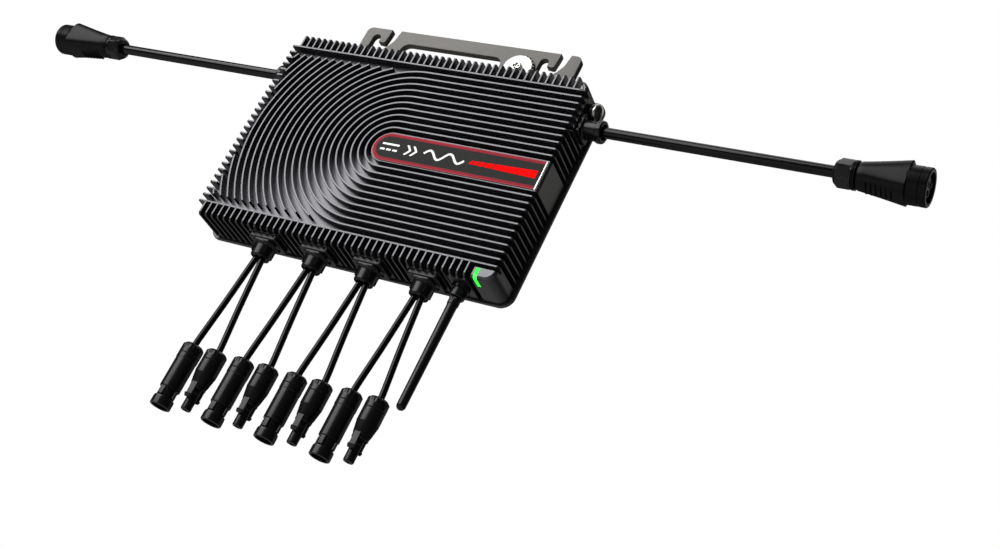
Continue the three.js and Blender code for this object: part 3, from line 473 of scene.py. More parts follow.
def ridges(solid):
    """Ridges round the label's end, wider arcs on the left, and a rail above and below."""
    right_wall = TIP_RIGHT - WALL_RIGHT + SUNK
    left_wall = WALL_LEFT - TIP_LEFT + SUNK
    deep = RIDGE_HEIGHT + SUNK
    for n in range(3, 13):
        radius = n * PITCH
        upper = wrap(X, TIP_RIGHT, 0.5, Z, Z * radius, right_wall, deep)
        lower = wrap(X, TIP_RIGHT, 0.5, -Z, -Z * radius, right_wall, deep)
        loft(solid, upper + ring_stations(radius, 90, 270) + lower[::-1])
    reach = 11.8 * PITCH
    limit = -WALL_LEFT - 0.6
    for n in range(13, 25):
        radius = n * PITCH
        end = math.degrees(math.asin(reach / radius))
        outer = radius + RIDGE / 2
        if outer > limit:
            near = math.degrees(math.acos(limit / outer))
            loft(solid, ring_stations(radius, 180 - end, 180 - near, 2))
            loft(solid, ring_stations(radius, 180 + near, 180 + end, 2))
        else:
            loft(solid, ring_stations(radius, 180 - end, 180 + end, 2))
    for end in (-1, 1):
        right = wrap(X, TIP_RIGHT, 0, Z, Z * RAIL_Z * end, right_wall, deep)
        left = wrap(-X, -TIP_LEFT, 1, Z, Z * RAIL_Z * end, left_wall, deep)
        loft(solid, right + left[::-1])


def fins(solid):
    """Fins on the top, the bottom and the left; the right-hand ones are the ends of the ridges."""
    first = -21.3 * PITCH
    step = 0.995 * PITCH
    sunk = 0.8
    high_wall = TIP_Z - WALL_Z + sunk
    left_wall = WALL_LEFT - TIP_LEFT + sunk
    low_front = FIN_ROUND + 0.4
    for count, end in ((43, 1), (41, -1)):
        for i in range(count):
            loft(solid, wrap(Z * end, TIP_Z, RAIL_Z, X, X * (first + i * step), high_wall, low_front))
    for n in range(-12, 13):
        loft(solid, wrap(-X, -TIP_LEFT, -WALL_LEFT - sunk, Z, Z * n * PITCH, left_wall, low_front))


# ---- housing ----

def label_outline(half, right):
    """Straight above and below, square on the right, with a half-round left end."""
    return [(right, half)] + arc(0, 0, half, 90, 270, 40) + [(right, -half)]


def square(low_x, low_z, high_x, high_z):
    return [(low_x, low_z), (high_x, low_z), (high_x, high_z), (low_x, high_z)]


CAVITY = (20 * PITCH, WALL_Z - 10)  # half width and half height


def walls(solid):
    """The front wall and the four side walls round the cavity."""
    outline = square(WALL_LEFT, -WALL_Z, WALL_RIGHT, WALL_Z)
    cavity_front = FLOOR + FRONT_WALL
    slab(solid, [outline], FLOOR, cavity_front)
    apart = 0.02  # keeps the faces of the two slabs from lying on each other
    inner = square(WALL_LEFT + apart, apart - WALL_Z, WALL_RIGHT - apart, WALL_Z - apart)
    slab(solid, [inner, hole(rounded(*CAVITY, 6))], cavity_front - SUNK, CASE_BACK)


def side_pad(solid, outward, low, high, wall, tip):
    """A flat pad behind a gland that fills the space between fins, from the wall to their tips."""
    front = PORT_Y - 1.7 * PITCH - 1
    edge = 0.8
    if outward.x:
        span = sorted((outward.x * (wall - 1), outward.x * tip))
        block(solid, (span[0], front, low), (span[1], CASE_BACK, high), edge)
    else:
        span = sorted((outward.z * (wall - 1), outward.z * tip))
        block(solid, (low, front, span[0]), (high, CASE_BACK, span[1]), edge)


def corner_block(solid, left, inner, radius, end, turn):
    """A solid right-hand corner: end is -1 below and 1 above, inner the height where it starts.

    radius and turn, in degrees, are those of its rounded corner.
    """
    centre_x = TIP_RIGHT - radius
    centre_z = max(inner, TIP_Z - radius) if end < 0 else inner
    rings = []
    for height, distance in rounding(FIN_ROUND, 6) + [(CASE_BACK - FRONT, 0)]:
        edge = max(0, EDGE - height)
        spots = arc(centre_x, centre_z, radius - distance, 0, turn, 12)
        spots += [(left + edge, spots[-1][1]), (left + edge, inner + edge)]
        spots.append((TIP_RIGHT - distance, inner + edge))
        rings.append([(x, FRONT + height, z * end) for x, z in spots])
    loft(solid, rings)


LED_LEFT = 19.4 * PITCH
LED_LOW, LED_HIGH = limits("led_light_pipe")


def housing():
    solid = Solid()
    walls(solid)
    ridges(solid)
    fins(solid)
    seat = FRONT + 0.8  # the label lies in a pad that runs on down the right-hand side
    slab(solid, [label_outline(PAD_HALF, WALL_RIGHT + 2)], seat, FLOOR + 1, (0.35, 0))
    seat += 0.02
    flat = [(WALL_RIGHT - 1, seat)]
    flat += arc(TIP_RIGHT - FIN_ROUND, seat + FIN_ROUND, FIN_ROUND, -90, 0, 6)
    flat += [(TIP_RIGHT, CASE_BACK), (WALL_RIGHT - 1, CASE_BACK)]
    plate(solid, [flat], -PAD_HALF, PAD_HALF, (0.4, 0.4))
    right = pivot("ac_lead_right_flex").z
    left = pivot("ac_lead_left_flex").z
    side_pad(solid, X, right - AC_PAD, WALL_Z, WALL_RIGHT, TIP_RIGHT)
    side_pad(solid, -X, left - AC_PAD, left + AC_PAD, -WALL_LEFT, -TIP_LEFT)
    for number in range(1, 5):
        x = middle(f"dc_gland_{number}")[0]
        side_pad(solid, -Z, x - DC_PAD, x + DC_PAD, WALL_Z, TIP_Z)
    antenna = pivot("antenna_screw_on").x
    side_pad(solid, -Z, antenna - ANTENNA_PAD, antenna + ANTENNA_PAD, WALL_Z, TIP_Z)
    rail = RAIL_Z - RIDGE / 2
    slab(solid, [square(LED_LEFT, -13.6 * PITCH, TIP_RIGHT - 0.1, -rail)], FLOOR, CASE_BACK)
    corner_block(solid, LED_LEFT, 13.57 * PITCH, 1.4 * PITCH, -1, 90)
    corner_block(solid, 21.35 * PITCH, rail, 1.65 * PITCH, 1, 68)
    make("housing_casting", solid, CAST, stands_for=["heatsink_housing"])


# ---- status light and label ----

def status_light():
    """A bar on the front that turns under the corner and runs back along the bottom."""
    solid = Solid()
    x = (LED_LOW.x + LED_HIGH.x) / 2
    half = (LED_HIGH.x - LED_LOW.x) / 2
    stages = [(Vector((x, FRONT, LED_HIGH.z)), Y)]
    centre = Vector((x, FRONT + FIN_ROUND, FIN_ROUND - TIP_Z))
    for k in range(9):
        turn = math.radians(90 * k / 8)
        out = -Y * math.cos(turn) - Z * math.sin(turn)
        stages.append((centre + out * FIN_ROUND, -out))
    stages.append((Vector((x, LED_HIGH.y, -TIP_Z)), Z))
    rings = []
    thick = 1.6
    for tip, inward in stages:
        spots = [(half, thick), (half, 0.9), (half - 0.3, 0.35), (half - 1.1, 0)]
        spots += [(-across, down) for across, down in reversed(spots)]
        rings.append([tip + X * across + inward * down for across, down in spots])
    loft(solid, rings)
    make("status_light", solid, LIGHT, stands_for=["led_light_pipe"])


def label():
    """The dark field with a red border, tapered red bars and a current symbol, all slightly raised."""
    field = Solid()
    slab(field, [label_outline(LABEL_HALF, LABEL_RIGHT)], FRONT + 0.25, FRONT + 0.8, (0.15, 0))
    make("label_field", field, FIELD, stands_for=["label_plate"])

    def inlay(name, shapes, material):
        solid = Solid()
        for loops in shapes:
            slab(solid, loops, FRONT + 0.1, FRONT + 0.4, (0.05, 0))
        make(name, solid, material)

    def band(outside, inside):
        return [label_outline(outside, right) + hole(label_outline(inside, right))]

    outer = LABEL_HALF - 0.35
    line = outer - 0.6
    inner = outer - 3.3
    right = LABEL_RIGHT - 1.2
    inlay("label_border_line", [band(outer, line)], BORDER_LINE)
    inlay("label_border", [band(line, inner)], BORDER)
    tall = LABEL_HALF - 0.3
    inlay("label_end", [[square(LABEL_RIGHT - 1.1, -tall, LABEL_RIGHT - 0.2, tall)]], SILVER)

    bars = []
    start = 12.0 * PITCH
    length = 21.35 * PITCH - start
    cuts = [0.0, 0.055, 0.13, 0.23, 0.36, 1.0]  # where the bar is cut, as shares of its length
    gap = 1.1
    slant = 2.2

    def half_height(x):
        return 1.9 + 2.2 * (x - start) / length

    for i in range(5):
        last = i == 4
        a = start + cuts[i] * length
        b = start + cuts[i + 1] * length - (0 if last else gap)
        low, high = half_height(a), half_height(b)
        bars.append([[(a, -low), (b, -high), (b + (0 if last else slant), high), (a + slant, low)]])
    inlay("label_bars", bars, RED)
    inlay("label_marks", current_marks(), WHITE)


def current_marks():
    """Direct current, two arrow heads and alternating current."""
    left = -6.5
    low, high = 2.0, 3.9
    marks = [[square(left, low, 11.5, high)]]
    for i in range(3):
        x = left + i * 6.6
        marks.append([square(x, -high, x + 4.8, -low)])
    tall = 5.2
    for i in range(2):
        x = 19 + i * 6.5
        marks.append([[(x, -tall), (x + 2.4, -tall), (x + 6.6, 0), (x + 2.4, tall), (x, tall), (x + 4.2, 0)]])
    start, length, steps, swing, half = 39, 42, 60, 4.1, 1.05
    upper = []
    lower = []
    for i in range(steps + 1):
        turn = 4 * math.pi * i / steps
        x, z = start + length * i / steps, swing * math.sin(turn)
        slope = Vector((length, swing * 4 * math.pi * math.cos(turn))).normalized()
        upper.append((x - slope.y * half, z + slope.x * half))
        lower.append((x + slope.y * half, z - slope.x * half))
    marks.append([lower + upper[::-1]])
    return marks


# ---- rear cover, bracket and screws ----

COVER_LOW, COVER_HIGH = limits("rear_cover")
CORNER = 1.7 * PITCH


def rear_cover():
    solid = Solid()
    half_x, half_z, back = COVER_HIGH.x, COVER_HIGH.z, COVER_HIGH.y
    outline = rounded(half_x, half_z, CORNER, steps=12)
    spots = [middle(f"cover_screw_{number}") for number in range(1, 5)]
    holes = [hole(circle(SCREW_HOLE, *spot, 24)) for spot in spots]
    slab(solid, [outline] + holes, COVER_LOW.y, back - 0.9, (0.9, 0.3), 3)
    raised = back - 1.1  # where everything that stands out from the plate starts
    rim = hole(rounded(half_x - 9, half_z - 9, CORNER - 4, steps=8))
    border = rounded(half_x - 1.2, half_z - 1.2, CORNER - 1.2, steps=12)
    slab(solid, [border, rim], raised, back - 0.3, (0, 0.4))
    for row in range(6):
        z = -(half_z - 40) + row * 22
        slab(solid, [rounded(half_x - 34, 3.2, 3.1, 0, z)], raised, back - 0.1, (0, 0.6))
    for spot, bore in zip(spots, holes):
        slab(solid, [circle(6.2, *spot, 28), bore], raised, back, (0, 0.3))
    low, high = limits("mounting_bracket")
    top, bottom = half_z - 3, low.z - 2
    foot = rounded((high.x - low.x) / 2 + 2, (top - bottom) / 2, 6, (high.x + low.x) / 2, (top + bottom) / 2)
    slab(solid, [foot], raised, back - 0.02, (0, 0.3))
    twin("rear_cover", solid, COVER)


def cross(arm, slot):
    """The outline of a cross recess."""
    loop = []
    for k in range(4):
        turn = Matrix.Rotation(math.pi / 2 * k, 2)
        loop += [tuple(turn @ Vector(p)) for p in ((arm, -slot * 0.7), (arm, slot * 0.7), (slot, slot))]
    return loop


def screw(node, radius, height, shank, material, outward):
    """A pan-head screw with a cross recess; outward is +1 or -1 along Y, away from the part."""
    low, high = limits(node)
    x, z = middle(node)
    face = high.y if outward > 0 else low.y
    root = low.y if outward > 0 else high.y
    place = Matrix.Translation((x, face, z)) @ Matrix.Rotation(-outward * math.pi / 2, 4, "X")
    solid = Solid()
    length = abs(face - root)
    base = height * 0.45
    turned(solid, [(radius - 0.1, -height), (radius, 0.15 - height), (radius, -base)], 36, place)
    plate(solid, [circle(radius, steps=36), hole(cross(radius * 0.58, radius * 0.15))], -base, 0,
          (0, base * 0.8), place, 4)
    turned(solid, [(shank, -length), (shank, -height + 0.1)], 20, place)
    twin(node, solid, material)


def hook_slot(x, top):
    """A slot that opens at the top edge, runs down and round, and ends in a round seat."""
    mouth = 1.5 * PITCH
    half = 0.62 * PITCH
    end = top - 1.75 * PITCH
    foot = top - 3.8 * PITCH
    neck = 1.45 * PITCH
    left = x + 1.85 * PITCH
    path = [(left + mouth, top), (left, top), (left - 0.2, top - 0.9 * PITCH)]
    path += arc(x + neck - 0.4, top - 2.1 * PITCH, 2.2, -20, -110, 4)
    path += [(x + half, top - 2.3 * PITCH)]
    path += arc(x, end, half, 0, 180, 12)
    path += [(x - half, foot + 1.5), (x - half + 1.5, foot)]
    path += [(x + 0.9 * PITCH, foot - 0.2 * PITCH), (x + 1.7 * PITCH, foot + 0.15 * PITCH)]
    path += [(x + 2.4 * PITCH, foot + 0.9 * PITCH), (x + 3.0 * PITCH, foot + 1.9 * PITCH)]
    return path[:1] + path[:0:-1]


def bracket():
    low, high = limits("mounting_bracket")
    corner = 6
    left, right, bottom, top = low.x + corner, high.x - corner, low.z + corner, high.z - corner
    outline = arc(left, bottom, corner, 180, 270, 6) + arc(right, bottom, corner, -90, 0, 6)
    outline += arc(right, top, corner, 0, 90, 6)
    for x in (11 * PITCH, -15.6 * PITCH):
        outline += hook_slot(x, high.z)
    outline += arc(left, top, corner, 90, 180, 6)
    window = hole(rounded(7.9 * PITCH, 1.5 * PITCH, 8, -3 * PITCH, high.z - 3.55 * PITCH, 8))
    earth = hole(circle(EARTH_HOLE, *middle("earth_screw"), 24))
    screws = ("bracket_screw_left", "bracket_screw_right")
    solid = Solid()
    narrow = [hole(circle(2.6, *middle(node), 24)) for node in screws]
    wide = [hole(circle(4.6, *middle(node), 32)) for node in screws]
    recess = -3
    slab(solid, [outline, window, earth] + narrow, low.y, recess, (0.7, 0))
    slab(solid, [outline, window, earth] + wide, recess, high.y, (0, 0.7))
    twin("mounting_bracket", solid, BRACKET)
    for node in screws:
        screw(node, *SMALL_SCREW, STEEL, 1)


def earth_point():
    """A toothed disc under the earth screw."""
    low, high = limits("earth_washer")
    x, z = middle("earth_washer")
    radius = (high.x - low.x) / 2
    teeth = 24
    tip, root = 0.995, 0.91
    loop = []
    for i in range(teeth):
        for part, size in ((0.08, tip), (0.42, tip), (0.52, root), (0.95, root)):
            angle = 2 * math.pi * (i + part) / teeth
            loop.append((x + radius * size * math.cos(angle), z + radius * size * math.sin(angle)))
    solid = Solid()
    rim = low.y + 1.1
    bore = hole(circle(EARTH_HOLE, x, z, 24))
    slab(solid, [loop, bore], rim, high.y, (0.4, 0.4))
    make("earth_washer_teeth", solid, COVER, stands_for=["earth_washer"])
    face = Solid()
    slab(face, [circle(radius * 0.89, x, z, 64), bore], low.y, rim + 0.5, (0.35, 0))
    slab(face, [circle(5.6, x, z, 40), bore], low.y - 0.02, low.y + 0.3, (0.1, 0))
    make("earth_washer_face", face, ZINC)
    screw("earth_screw", 5, 3.2, 2.6, NICKEL, -1)


# ---- glands and leads ----

def fluted(count, depth, low, high):
    """Grip flutes cut round a turned piece between two heights."""
    def shape(angle, height):
        if not low <= height <= high:
            return 1
        return 1 - depth * (0.5 - 0.5 * math.cos(count * angle)) ** 2
    return shape


def dc_gland(number):
    low, high = limits(f"dc_gland_{number}")
    x = middle(f"dc_gland_{number}")[0]
    mouth = low.z
    place = Matrix.Translation((x, PORT_Y, 0))
    half_x, half_y = (high.x - low.x) / 2, (high.y - low.y) / 2
    top = -TIP_Z
    solid = Solid()
    plate(solid, [rounded(half_x, half_y, 4)], top - 4.6, top, (1.0, 0.2), place, 3)
    plate(solid, [rounded(half_x - 5.2, half_y - 1.2, 5)], top - 6.8, top - 4.4, (1.0, 0), place, 3)
    hub = [(8.4, mouth), (8.9, mouth + 0.25), (9.2, mouth + 0.9), (9.7, top - 9.5), (10, top - 8.4)]
    hub += [(10.6, top - 7.4), (11.4, top - 6.6), (11.4, top - 6)]
    inner = [(8.2, top - 6), (8.0, mouth + 4.2), (7.9, mouth + 0.4)]
    turned(solid, hub + inner, 48, place, True)
    turned(solid, [(8.15, top - 6), (8.15, mouth + 4)], 32, place)
    for turn in (0, 90, 180, 270):
        spin = place @ Matrix.Rotation(math.radians(turn + 45), 4, "Z")
        block(solid, (9.0, -0.9, mouth + 3.0), (10.5, 0.9, top - 6.5), 0.4, spin)
    turned(solid, [(7.5, top - 0.5), (7.5, high.z)], 32, place)
    twin(f"dc_gland_{number}", solid, PLASTIC)
    seal = Solid()
    turned(seal, [(7.8, mouth + 4.4), (7.8, mouth + 1.6), (7.2, mouth + 1.2)], 36, place)
    make(f"dc_gland_seal_{number}", seal, RUBBER)
    for side in (-1, 1):
        bolt = Solid()
        spot = place @ Matrix.Translation((side * (half_x - 3.6), 0, top - 4.6))
        turned(bolt, [(2.3, -0.4), (2.3, 1.0), (1.9, 1.5)], 24, spot @ Matrix.Rotation(math.pi, 4, "X"))
        name = "left" if side < 0 else "right"
        make(f"dc_gland_screw_{number}_{name}", bolt, FERRITE)


PLUG_RADIUS = 9.8  # of the input connectors and of their cap nuts
NUT_LENGTH = 11


def nut(solid, place):
    """A cap nut that hangs down from height 0, with grip flutes."""
    bore = 3.15
    profile = [(bore, 0.1), (bore + 0.5, 0), (6.0, 0), (7.6, -0.5), (9.0, -1.7), (PLUG_RADIUS, -2.6)]
    profile += [(PLUG_RADIUS, height) for height in (-4.0, -5.5, -6.2, 0.4 - NUT_LENGTH)]
    profile += [(PLUG_RADIUS - 0.4, -NUT_LENGTH), (7.0, -NUT_LENGTH), (6.7, -3.6), (bore, -3.0)]
    turned(solid, profile, 96, place, True, fluted(16, 0.04, -5.6, -1.6))


def neck():
    """The end inside the cap nut and the first shoulder, the same on both kinds of connector."""
    shoulder = -NUT_LENGTH - 0.1
    return [(6.4, -3.6), (6.4, shoulder), (9.4, shoulder), (PLUG_RADIUS, shoulder - 0.5)]


def socket_body(solid, place):
    """The socket half: a barrel, a neck with latch windows and a flared open ring."""
    end = -62.6
    barrel = neck() + [(PLUG_RADIUS, -16), (9.45, -16.4)]
    barrel += [(9.45, -44.4), (9.1, -45.3), (7.9, -45.6), (7.9, -53.6)]
    ring = [(8.6, -53.7), (9.2, -54.3), (9.5, -56), (9.5, end + 0.5), (9.0, end), (7.7, end)]
    core = [(7.4, end + 0.4), (7.4, end + 14), (4.4, end + 14), (4.4, end + 3.2), (4.0, end + 2.8)]
    core += [(2.6, end + 2.8), (2.4, end + 3.4), (2.4, end + 12)]
    turned(solid, barrel + ring + core, 48, place)
    for side in (-1, 1):
        block(solid, (-2.2, side * 8.5 - 1.0, -53.4), (2.2, side * 8.5 + 1.0, -45.6), 0.5, place)
        block(solid, (side * 8.6 - 0.9, -1.6, -53.4), (side * 8.6 + 0.9, 1.6, -45.6), 0.4, place)


def plug_body(solid, place):
    """The plug half: a shouldered barrel, two latch arms with barbs and a nose."""
    barrel = neck() + [(PLUG_RADIUS, -23.2), (9.5, -24.2)]
    barrel += [(8.0, -33.4), (7.4, -35), (7.4, -37.4), (7.0, -38), (4.7, -38), (4.7, -40.8), (5.0, -41.1)]
    barrel += [(5.0, -42.4), (4.7, -42.8), (4.7, -57.6), (4.2, -58.5), (2.4, -58.5), (2.4, -48)]
    turned(solid, barrel, 48, place)
    for side in (-1, 1):
        arm = sorted((side * 5.7, side * 7.9))
        block(solid, (-2.9, arm[0], -48.4), (2.9, arm[1], -33.5), 0.4, place)
        wedge = [(6.6, -48.4), (8.0, -48.4), (9.3, -46.2), (9.3, -45.2), (6.6, -45.2)]
        if side < 0:
            wedge = [(-out, height) for out, height in reversed(wedge)]
        plate(solid, [wedge], -2.9, 2.9, (0.3, 0.3), place @ FACING_RIGHT)


def dc_lead(number, kind):
    body = f"dc_lead_{number}_{kind}"
    root = pivot(f"{body}_flex")
    x = middle(f"dc_{kind}_{number}")[0]
    top = limits(f"dc_nut_{number}_{kind}")[1].z
    drop = top - root.z
    shift = x - root.x
    path = [(0, 0, 3.6), (0, 0, 1), (0, 0, -2), (shift * 0.5, 0, drop * 0.52)]
    path += [(shift, 0, drop + 6), (shift, 0, drop - 3.2)]
    jacket = Solid()
    tube(jacket, curve(path, 12), 2.9, 24, Matrix.Translation(root), 0.4)
    cable = twin(f"dc_cable_{number}_{kind}", jacket, JACKET, None)
    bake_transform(cable)
    place = Matrix.Translation((x, root.y, top))
    cap = Solid()
    nut(cap, place)
    twin(f"dc_nut_{number}_{kind}", cap, PLASTIC, body)
    shell = Solid()
    if kind == "socket":
        socket_body(shell, place)
    else:
        plug_body(shell, place)
    twin(f"dc_{kind}_{number}", shell, PLASTIC, body)


def outward_frame(side, name):
    """Places what is drawn along +Z at a side of the housing, pointing outwards."""
    z = pivot(f"ac_lead_{name}_flex").z
    return Matrix.Translation((0, PORT_Y, z)) @ Matrix.Rotation(side * math.pi / 2, 4, "Y")


def ac_gland(side, name):
    base = TIP_RIGHT if side > 0 else -TIP_LEFT
    mouth = abs(pivot(f"ac_lead_{name}_flex").x)
    place = outward_frame(side, name)
    solid = Solid()
    plate(solid, [rounded(11, 11, 3.5)], base, base + 4, (0.2, 0.9), place, 3)
    hub = [(9.9, base + 3.6), (9.6, base + 4.4), (9.0, base + 5.2), (9.0, mouth - 6.4), (9.4, mouth - 6)]
    hub += [(10.1, mouth - 5.5), (10.4, mouth - 4.9), (10.4, mouth - 1.4), (10.0, mouth - 0.6), (9.2, mouth)]
    inner = [(7.4, mouth), (7.0, mouth - 0.5), (6.6, mouth - 4.5), (6.2, base + 3.6)]
    turned(solid, hub + inner, 64, place, True, fluted(20, 0.03, mouth - 5.2, mouth - 1.2))
    turned(solid, [(7.5, base - 14), (7.5, base + 1)], 32, place)
    twin(f"ac_gland_{name}", solid, PLASTIC)
    seal = Solid()
    profile = [(6.9, mouth - 5), (6.9, mouth - 3.2), (5.6, mouth - 2.4), (5.0, mouth - 2.4), (5.0, mouth - 5)]
    turned(seal, profile, 40, place, True)
    make(f"ac_gland_seal_{name}", seal, RUBBER)


def hexagonal(low, high):
    """Six flats with softened corners between two heights, round elsewhere."""
    half = math.pi / 6

    def shape(angle, height):
        if not low <= height <= high:
            return 1
        part = (angle + half) % (2 * half) - half
        return min(math.cos(half) / math.cos(part), 0.985)
    return shape


def ac_nut(place):
    solid = Solid()
    profile = [(5.4, 0.3), (5.9, 0), (8.6, 0), (9.4, 0.5), (10.8, 2.2), (12.5, 3.6), (12.5, 13.2)]
    profile += [(12.0, 14.2), (12.0, 15), (9.2, 15), (9.2, 5.2), (5.4, 5.2)]
    turned(solid, profile, 96, place, True, hexagonal(3, 14))
    return solid


THROAT = 11.6  # half width of the grid connector's barrel where it starts
RIBBED = 4.2  # how much further out its ribbed side is at the front
PLAIN = 6.4  # and its other side
RING_END = 18
COLLAR = 17  # length of the collar in front of the barrel


def flare(height, length):
    """How far the barrel has widened at a height: 0 at the ring, 1 at the collar."""
    return ((height - RING_END) / (length - COLLAR - RING_END)) ** 1.15


def ac_connector(place, length):
    """The coupler: a ring, a barrel that widens to the front, a collar and a recessed contact face."""
    solid = Solid()
    flare_end = length - COLLAR
    turned(solid, [(7.4, 5.3), (7.4, 16)], 36, place)
    ring = [(11.2, 15.35), (12.0, 15.5), (12.4, 15.8), (12.4, 16.5), (11.8, 16.8), (11.8, 17.1)]
    ring += [(12.4, 17.4), (12.4, RING_END), (12.0, RING_END + 0.4), (11, RING_END + 0.4)]
    turned(solid, ring, 64, place)
    rings = []
    start = RING_END - 0.6
    for k in range(13):
        part = k / 12
        height = start + (flare_end - start) * part
        grow = part**1.15
        swell = min(1.0, math.sin(math.pi * min(part * 3, 0.5)) + 0.85)
        ring = []
        for j in range(64):
            angle = 2 * math.pi * j / 64
            across, up = math.cos(angle), math.sin(angle)
            power = 2 / (2.0 + 1.3 * grow)
            x = math.copysign(abs(across) ** power, across)
            y = math.copysign(abs(up) ** power, up)
            x *= THROAT + (RIBBED if x < 0 else PLAIN) * grow
            y *= THROAT + 3.7 * grow
            ring.append((x * swell, y * swell, height))
        rings.append(ring)
    last = rings[-1]
    rings.append([(x * 0.93, y * 0.93, flare_end + 0.9) for x, y, z in last])
    loft(solid, rings, place)
    for k in range(6):
        height = RING_END + 10 + k * 4.2
        reach = -THROAT - RIBBED * flare(height, length)
        rib = [(reach + 1.6, -6.5, height), (reach - 0.1, -3, height), (reach - 0.5, 1, height)]
        rib += [(reach - 0.1, 5, height), (reach + 1.6, 8.5, height)]
        tube(solid, curve(rib, 4), 0.8, 8, place)
    collar = [(15.4, flare_end - 1), (15.4, flare_end + 0.6), (16, flare_end + 1.2), (16, length - 7.2)]
    collar += [(15.5, length - 6.8), (15.5, length - 6), (16, length - 5.6), (16, length - 0.8)]
    collar += [(15.4, length), (13.0, length), (12.4, length - 0.6), (12.4, length - 9)]
    core = [(8.4, length - 9), (8.4, length - 2.4), (8.0, length - 2)]
    turned(solid, collar + core, 72, place, False, fluted(36, 0.02, flare_end + 1.3, length - 7.3))
    contact = [(2.1, length - 2.2), (2.1, length - 1.2), (1.8, length - 0.9), (1.1, length - 0.9)]
    contact += [(1.0, length - 1.9)]
    for turn in (90, 210, 330):
        spin = place @ Matrix.Rotation(math.radians(turn), 4, "Z") @ Matrix.Translation((4.6, 0, 0))
        turned(solid, contact, 24, spin)
    return solid


def ac_lead(side, name, flip):
    body = f"ac_lead_{name}"
    root = pivot(f"{body}_flex")
    nut_low, nut_high = limits(f"ac_nut_{name}")
    start = nut_low.x if side > 0 else -nut_high.x
    low, high = limits(f"ac_connector_{name}")
    reach = (high.x if side > 0 else -low.x) - start
    here = outward_frame(side, name)
    mouth = abs(root.x)
    jacket = Solid()
    path = [(0, 0, mouth - 4.5 + (start - mouth + 9.5) * k / 48) for k in range(49)]
    tube(jacket, path, 5, 32, here, 0.5)
    cable = twin(f"ac_cable_{name}", jacket, JACKET, None)
    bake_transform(cable)
    place = here @ Matrix.Translation((0, 0, start))
    if flip:
        place = place @ Matrix.Rotation(math.pi, 4, "Z")
    twin(f"ac_nut_{name}", ac_nut(place), PLASTIC, body)
    twin(f"ac_connector_{name}", ac_connector(place, reach), COUPLER, body)
    mark = Solid()
    spot = reach * 0.72
    size = THROAT + PLAIN * flare(spot, reach)
    block(mark, (size - 1.2, -3.2, spot - 1.1), (size + 0.15, 3.2, spot + 1.1), 0.4, place)
    make(f"ac_connector_mark_{name}", mark, RUBBER, body)


# ---- vent and antenna ----

def vent():
    high = limits("vent_plug")[1]
    place = Matrix.Translation((TIP_RIGHT, PORT_Y, middle("vent_plug")[1]))
    place = place @ Matrix.Rotation(math.pi / 2, 4, "Y")
    length = high.x - TIP_RIGHT
    hub = Solid()
    profile = [(4, -6), (4, 0), (7.4, 0), (7.4, length - 4.2), (7.0, length - 3.9), (7.0, length - 3)]
    turned(hub, profile, 72, place, False, fluted(18, 0.03, 0.5, length - 4.4))
    make("vent_plug_hub", hub, PLASTIC, stands_for=["vent_plug"])
    rim = Solid()
    profile = [(6.6, length - 3.4), (7.9, length - 3.2), (8.2, length - 2.6), (8.2, length - 1.2)]
    profile += [(8.0, length - 0.5), (7.6, length - 0.1), (7.2, length), (6.8, length - 0.2)]
    profile += [(6.6, length - 0.8)]
    turned(rim, profile, 64, place, True)
    make("vent_plug_rim", rim, NICKEL)
    disc = Solid()
    profile = [(6.55, length - 3), (6.55, length - 1.7), (6.0, length - 1.3), (1.4, length - 1.2)]
    turned(disc, profile, 48, place)
    for turn in range(0, 360, 45):
        spin = place @ Matrix.Rotation(math.radians(turn), 4, "Z")
        block(disc, (2.2, -0.35, length - 1.4), (4.7, 0.35, length - 0.9), 0.2, spin)
    make("vent_plug_disc", disc, RUBBER)


def antenna():
    root = pivot("antenna_screw_on")
    low, high = limits("antenna_base")
    place = Matrix.Translation((root.x, PORT_Y, 0))
    base = Solid()
    top = -TIP_Z
    profile = [(4, high.z), (4, top), (8.6, top), (8.6, top - 3.4), (8.1, top - 4), (7.2, top - 4.2)]
    profile += [(7.2, low.z + 0.6), (6.7, low.z), (3.6, low.z), (3.2, low.z + 0.4), (3.2, low.z + 5)]
    turned(base, profile, 72, place, False, hexagonal(top - 3.9, top - 0.1))
    twin("antenna_base", base, PLASTIC)
    whip_low, whip_high = limits("antenna_whip")
    sleeve_top = low.z - 0.3
    whip = Solid()
    profile = [(2.8, whip_high.z), (2.8, sleeve_top), (4.6, sleeve_top), (5.2, sleeve_top - 0.6)]
    profile += [(5.2, sleeve_top - 6.2), (4.9, sleeve_top - 7), (4.6, sleeve_top - 7.6)]
    tip = 4.1  # radius of the round end
    turns = (0, 0.3, 0.6, 0.9, 1.2, 1.45)
    profile += [(tip + 0.02, whip_low.z + tip + 1)]
    profile += [(tip * math.cos(a), whip_low.z + tip * (1 - math.sin(a))) for a in turns]
    turned(whip, profile, 48, place, False, fluted(24, 0.05, sleeve_top - 6.3, sleeve_top - 0.5))
    twin("antenna_whip", whip, PLASTIC, "antenna")


# ---- the whole object ----

housing()
status_light()
label()
rear_cover()
bracket()
earth_point()
for number in range(1, 5):
    dc_gland(number)
    dc_lead(number, "socket")
    dc_lead(number, "plug")
    screw(f"cover_screw_{number}", *SMALL_SCREW, STEEL, 1)
for side, name in ((-1, "left"), (1, "right")):
    ac_gland(side, name)
    ac_lead(side, name, side > 0)
vent()
antenna()

# CAD nodes inside the case keep their shape and only get a finish
kept = {"cover_gasket": RUBBER, "circuit_board": BOARD}
for number in range(1, 5):
    kept[f"transformer_{number}"] = FERRITE
for name, material in kept.items():
    slots = frame["nodes"][name].data.materials
    slots.clear()
    slots.append(material)


# ---- floor, light and camera ----

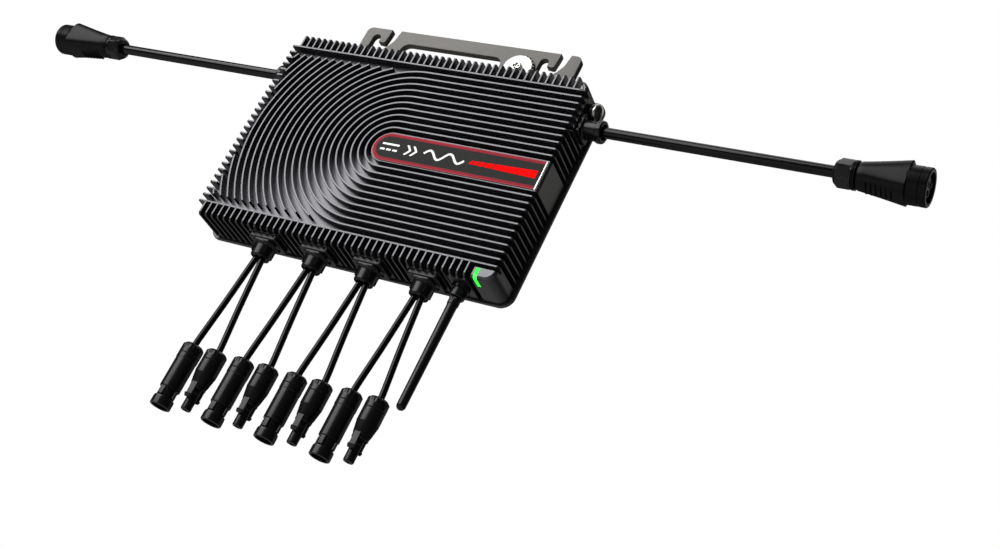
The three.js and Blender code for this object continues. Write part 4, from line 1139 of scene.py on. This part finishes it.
def stage():
    ground = bpy.data.meshes.new("floor")
    half = 4.0
    level = -0.78
    corners = [(x, y, level) for x, y in square(-half, -half, half, half)]
    ground.from_pydata(corners, [], [[0, 1, 2, 3]])
    pale = bpy.data.materials.new("pale_floor")
    pale.use_nodes = True
    tree = pale.node_tree
    shader = tree.nodes["Principled BSDF"]
    shader.inputs["Base Color"].default_value = (0.8, 0.8, 0.79, 1)
    shader.inputs["Roughness"].default_value = 0.8
    shader.inputs["Emission Color"].default_value = (0.95, 0.95, 0.94, 1)
    path = tree.nodes.new("ShaderNodeLightPath")
    lift = tree.nodes.new("ShaderNodeMath")
    lift.operation = "MULTIPLY"
    lift.inputs[1].default_value = 0.45
    tree.links.new(path.outputs["Is Camera Ray"], lift.inputs[0])
    tree.links.new(lift.outputs["Value"], shader.inputs["Emission Strength"])
    ground.materials.append(pale)
    floor = bpy.data.objects.new("floor", ground)
    scene.collection.objects.link(floor)


def softbox(name, direction, distance, size, power, tint=(1, 1, 1)):
    light = bpy.data.lights.new(name, "AREA")
    light.color = tint
    light.shape = "RECTANGLE"
    light.size, light.size_y = size
    light.energy = power
    box = bpy.data.objects.new(name, light)
    toward = Vector(direction).normalized()
    box.location = Vector((0, -0.03, -0.02)) + toward * distance
    box.rotation_euler = toward.to_track_quat("Z", "Y").to_euler()
    box.visible_camera = False
    scene.collection.objects.link(box)


def lights():
    softbox("key", (-0.50, -0.74, 0.455), 1.7, (1.5, 1.5), 50)
    softbox("top", (-0.2, 0.1, 1.0), 1.6, (1.6, 1.2), 8)
    softbox("side", (0.5, 0.75, 0.4), 1.7, (1.2, 1.2), 1.7, (1.0, 0.98, 0.88))
    world = bpy.data.worlds.new("studio")
    scene.world = world
    world.use_nodes = True
    nodes = world.node_tree.nodes
    link = world.node_tree.links.new
    nodes.clear()
    seen = nodes.new("ShaderNodeBackground")
    seen.inputs["Color"].default_value = (1, 1, 1, 1)
    unseen = nodes.new("ShaderNodeBackground")
    unseen.inputs["Color"].default_value = (0.9, 0.95, 1, 1)
    unseen.inputs["Strength"].default_value = 0.07
    path = nodes.new("ShaderNodeLightPath")
    mix = nodes.new("ShaderNodeMixShader")
    surface = nodes.new("ShaderNodeOutputWorld").inputs["Surface"]
    link(path.outputs["Is Camera Ray"], mix.inputs["Fac"])
    link(unseen.outputs["Background"], mix.inputs[1])
    link(seen.outputs["Background"], mix.inputs[2])
    link(mix.outputs["Shader"], surface)


def camera():
    lens = bpy.data.cameras.new("camera")
    lens.lens = 52.14
    lens.sensor_width = 36
    lens.clip_start = 0.01
    view = bpy.data.objects.new("camera", lens)
    eye = Vector((0.7242, -0.9789, -0.5691))
    ahead = (Vector((0.165, -0.050, -0.100)) - eye).normalized()
    level = ahead.cross(Z).normalized()
    upright = level.cross(ahead)
    roll = math.radians(26.4)
    right = level * math.cos(roll) + upright * math.sin(roll)
    up = right.cross(ahead)
    view.matrix_world = Matrix.Translation(eye) @ Matrix((right, up, -ahead)).transposed().to_4x4()
    scene.collection.objects.link(view)
    scene.camera = view


stage()
lights()
camera()
scene.view_settings.view_transform = "Standard"
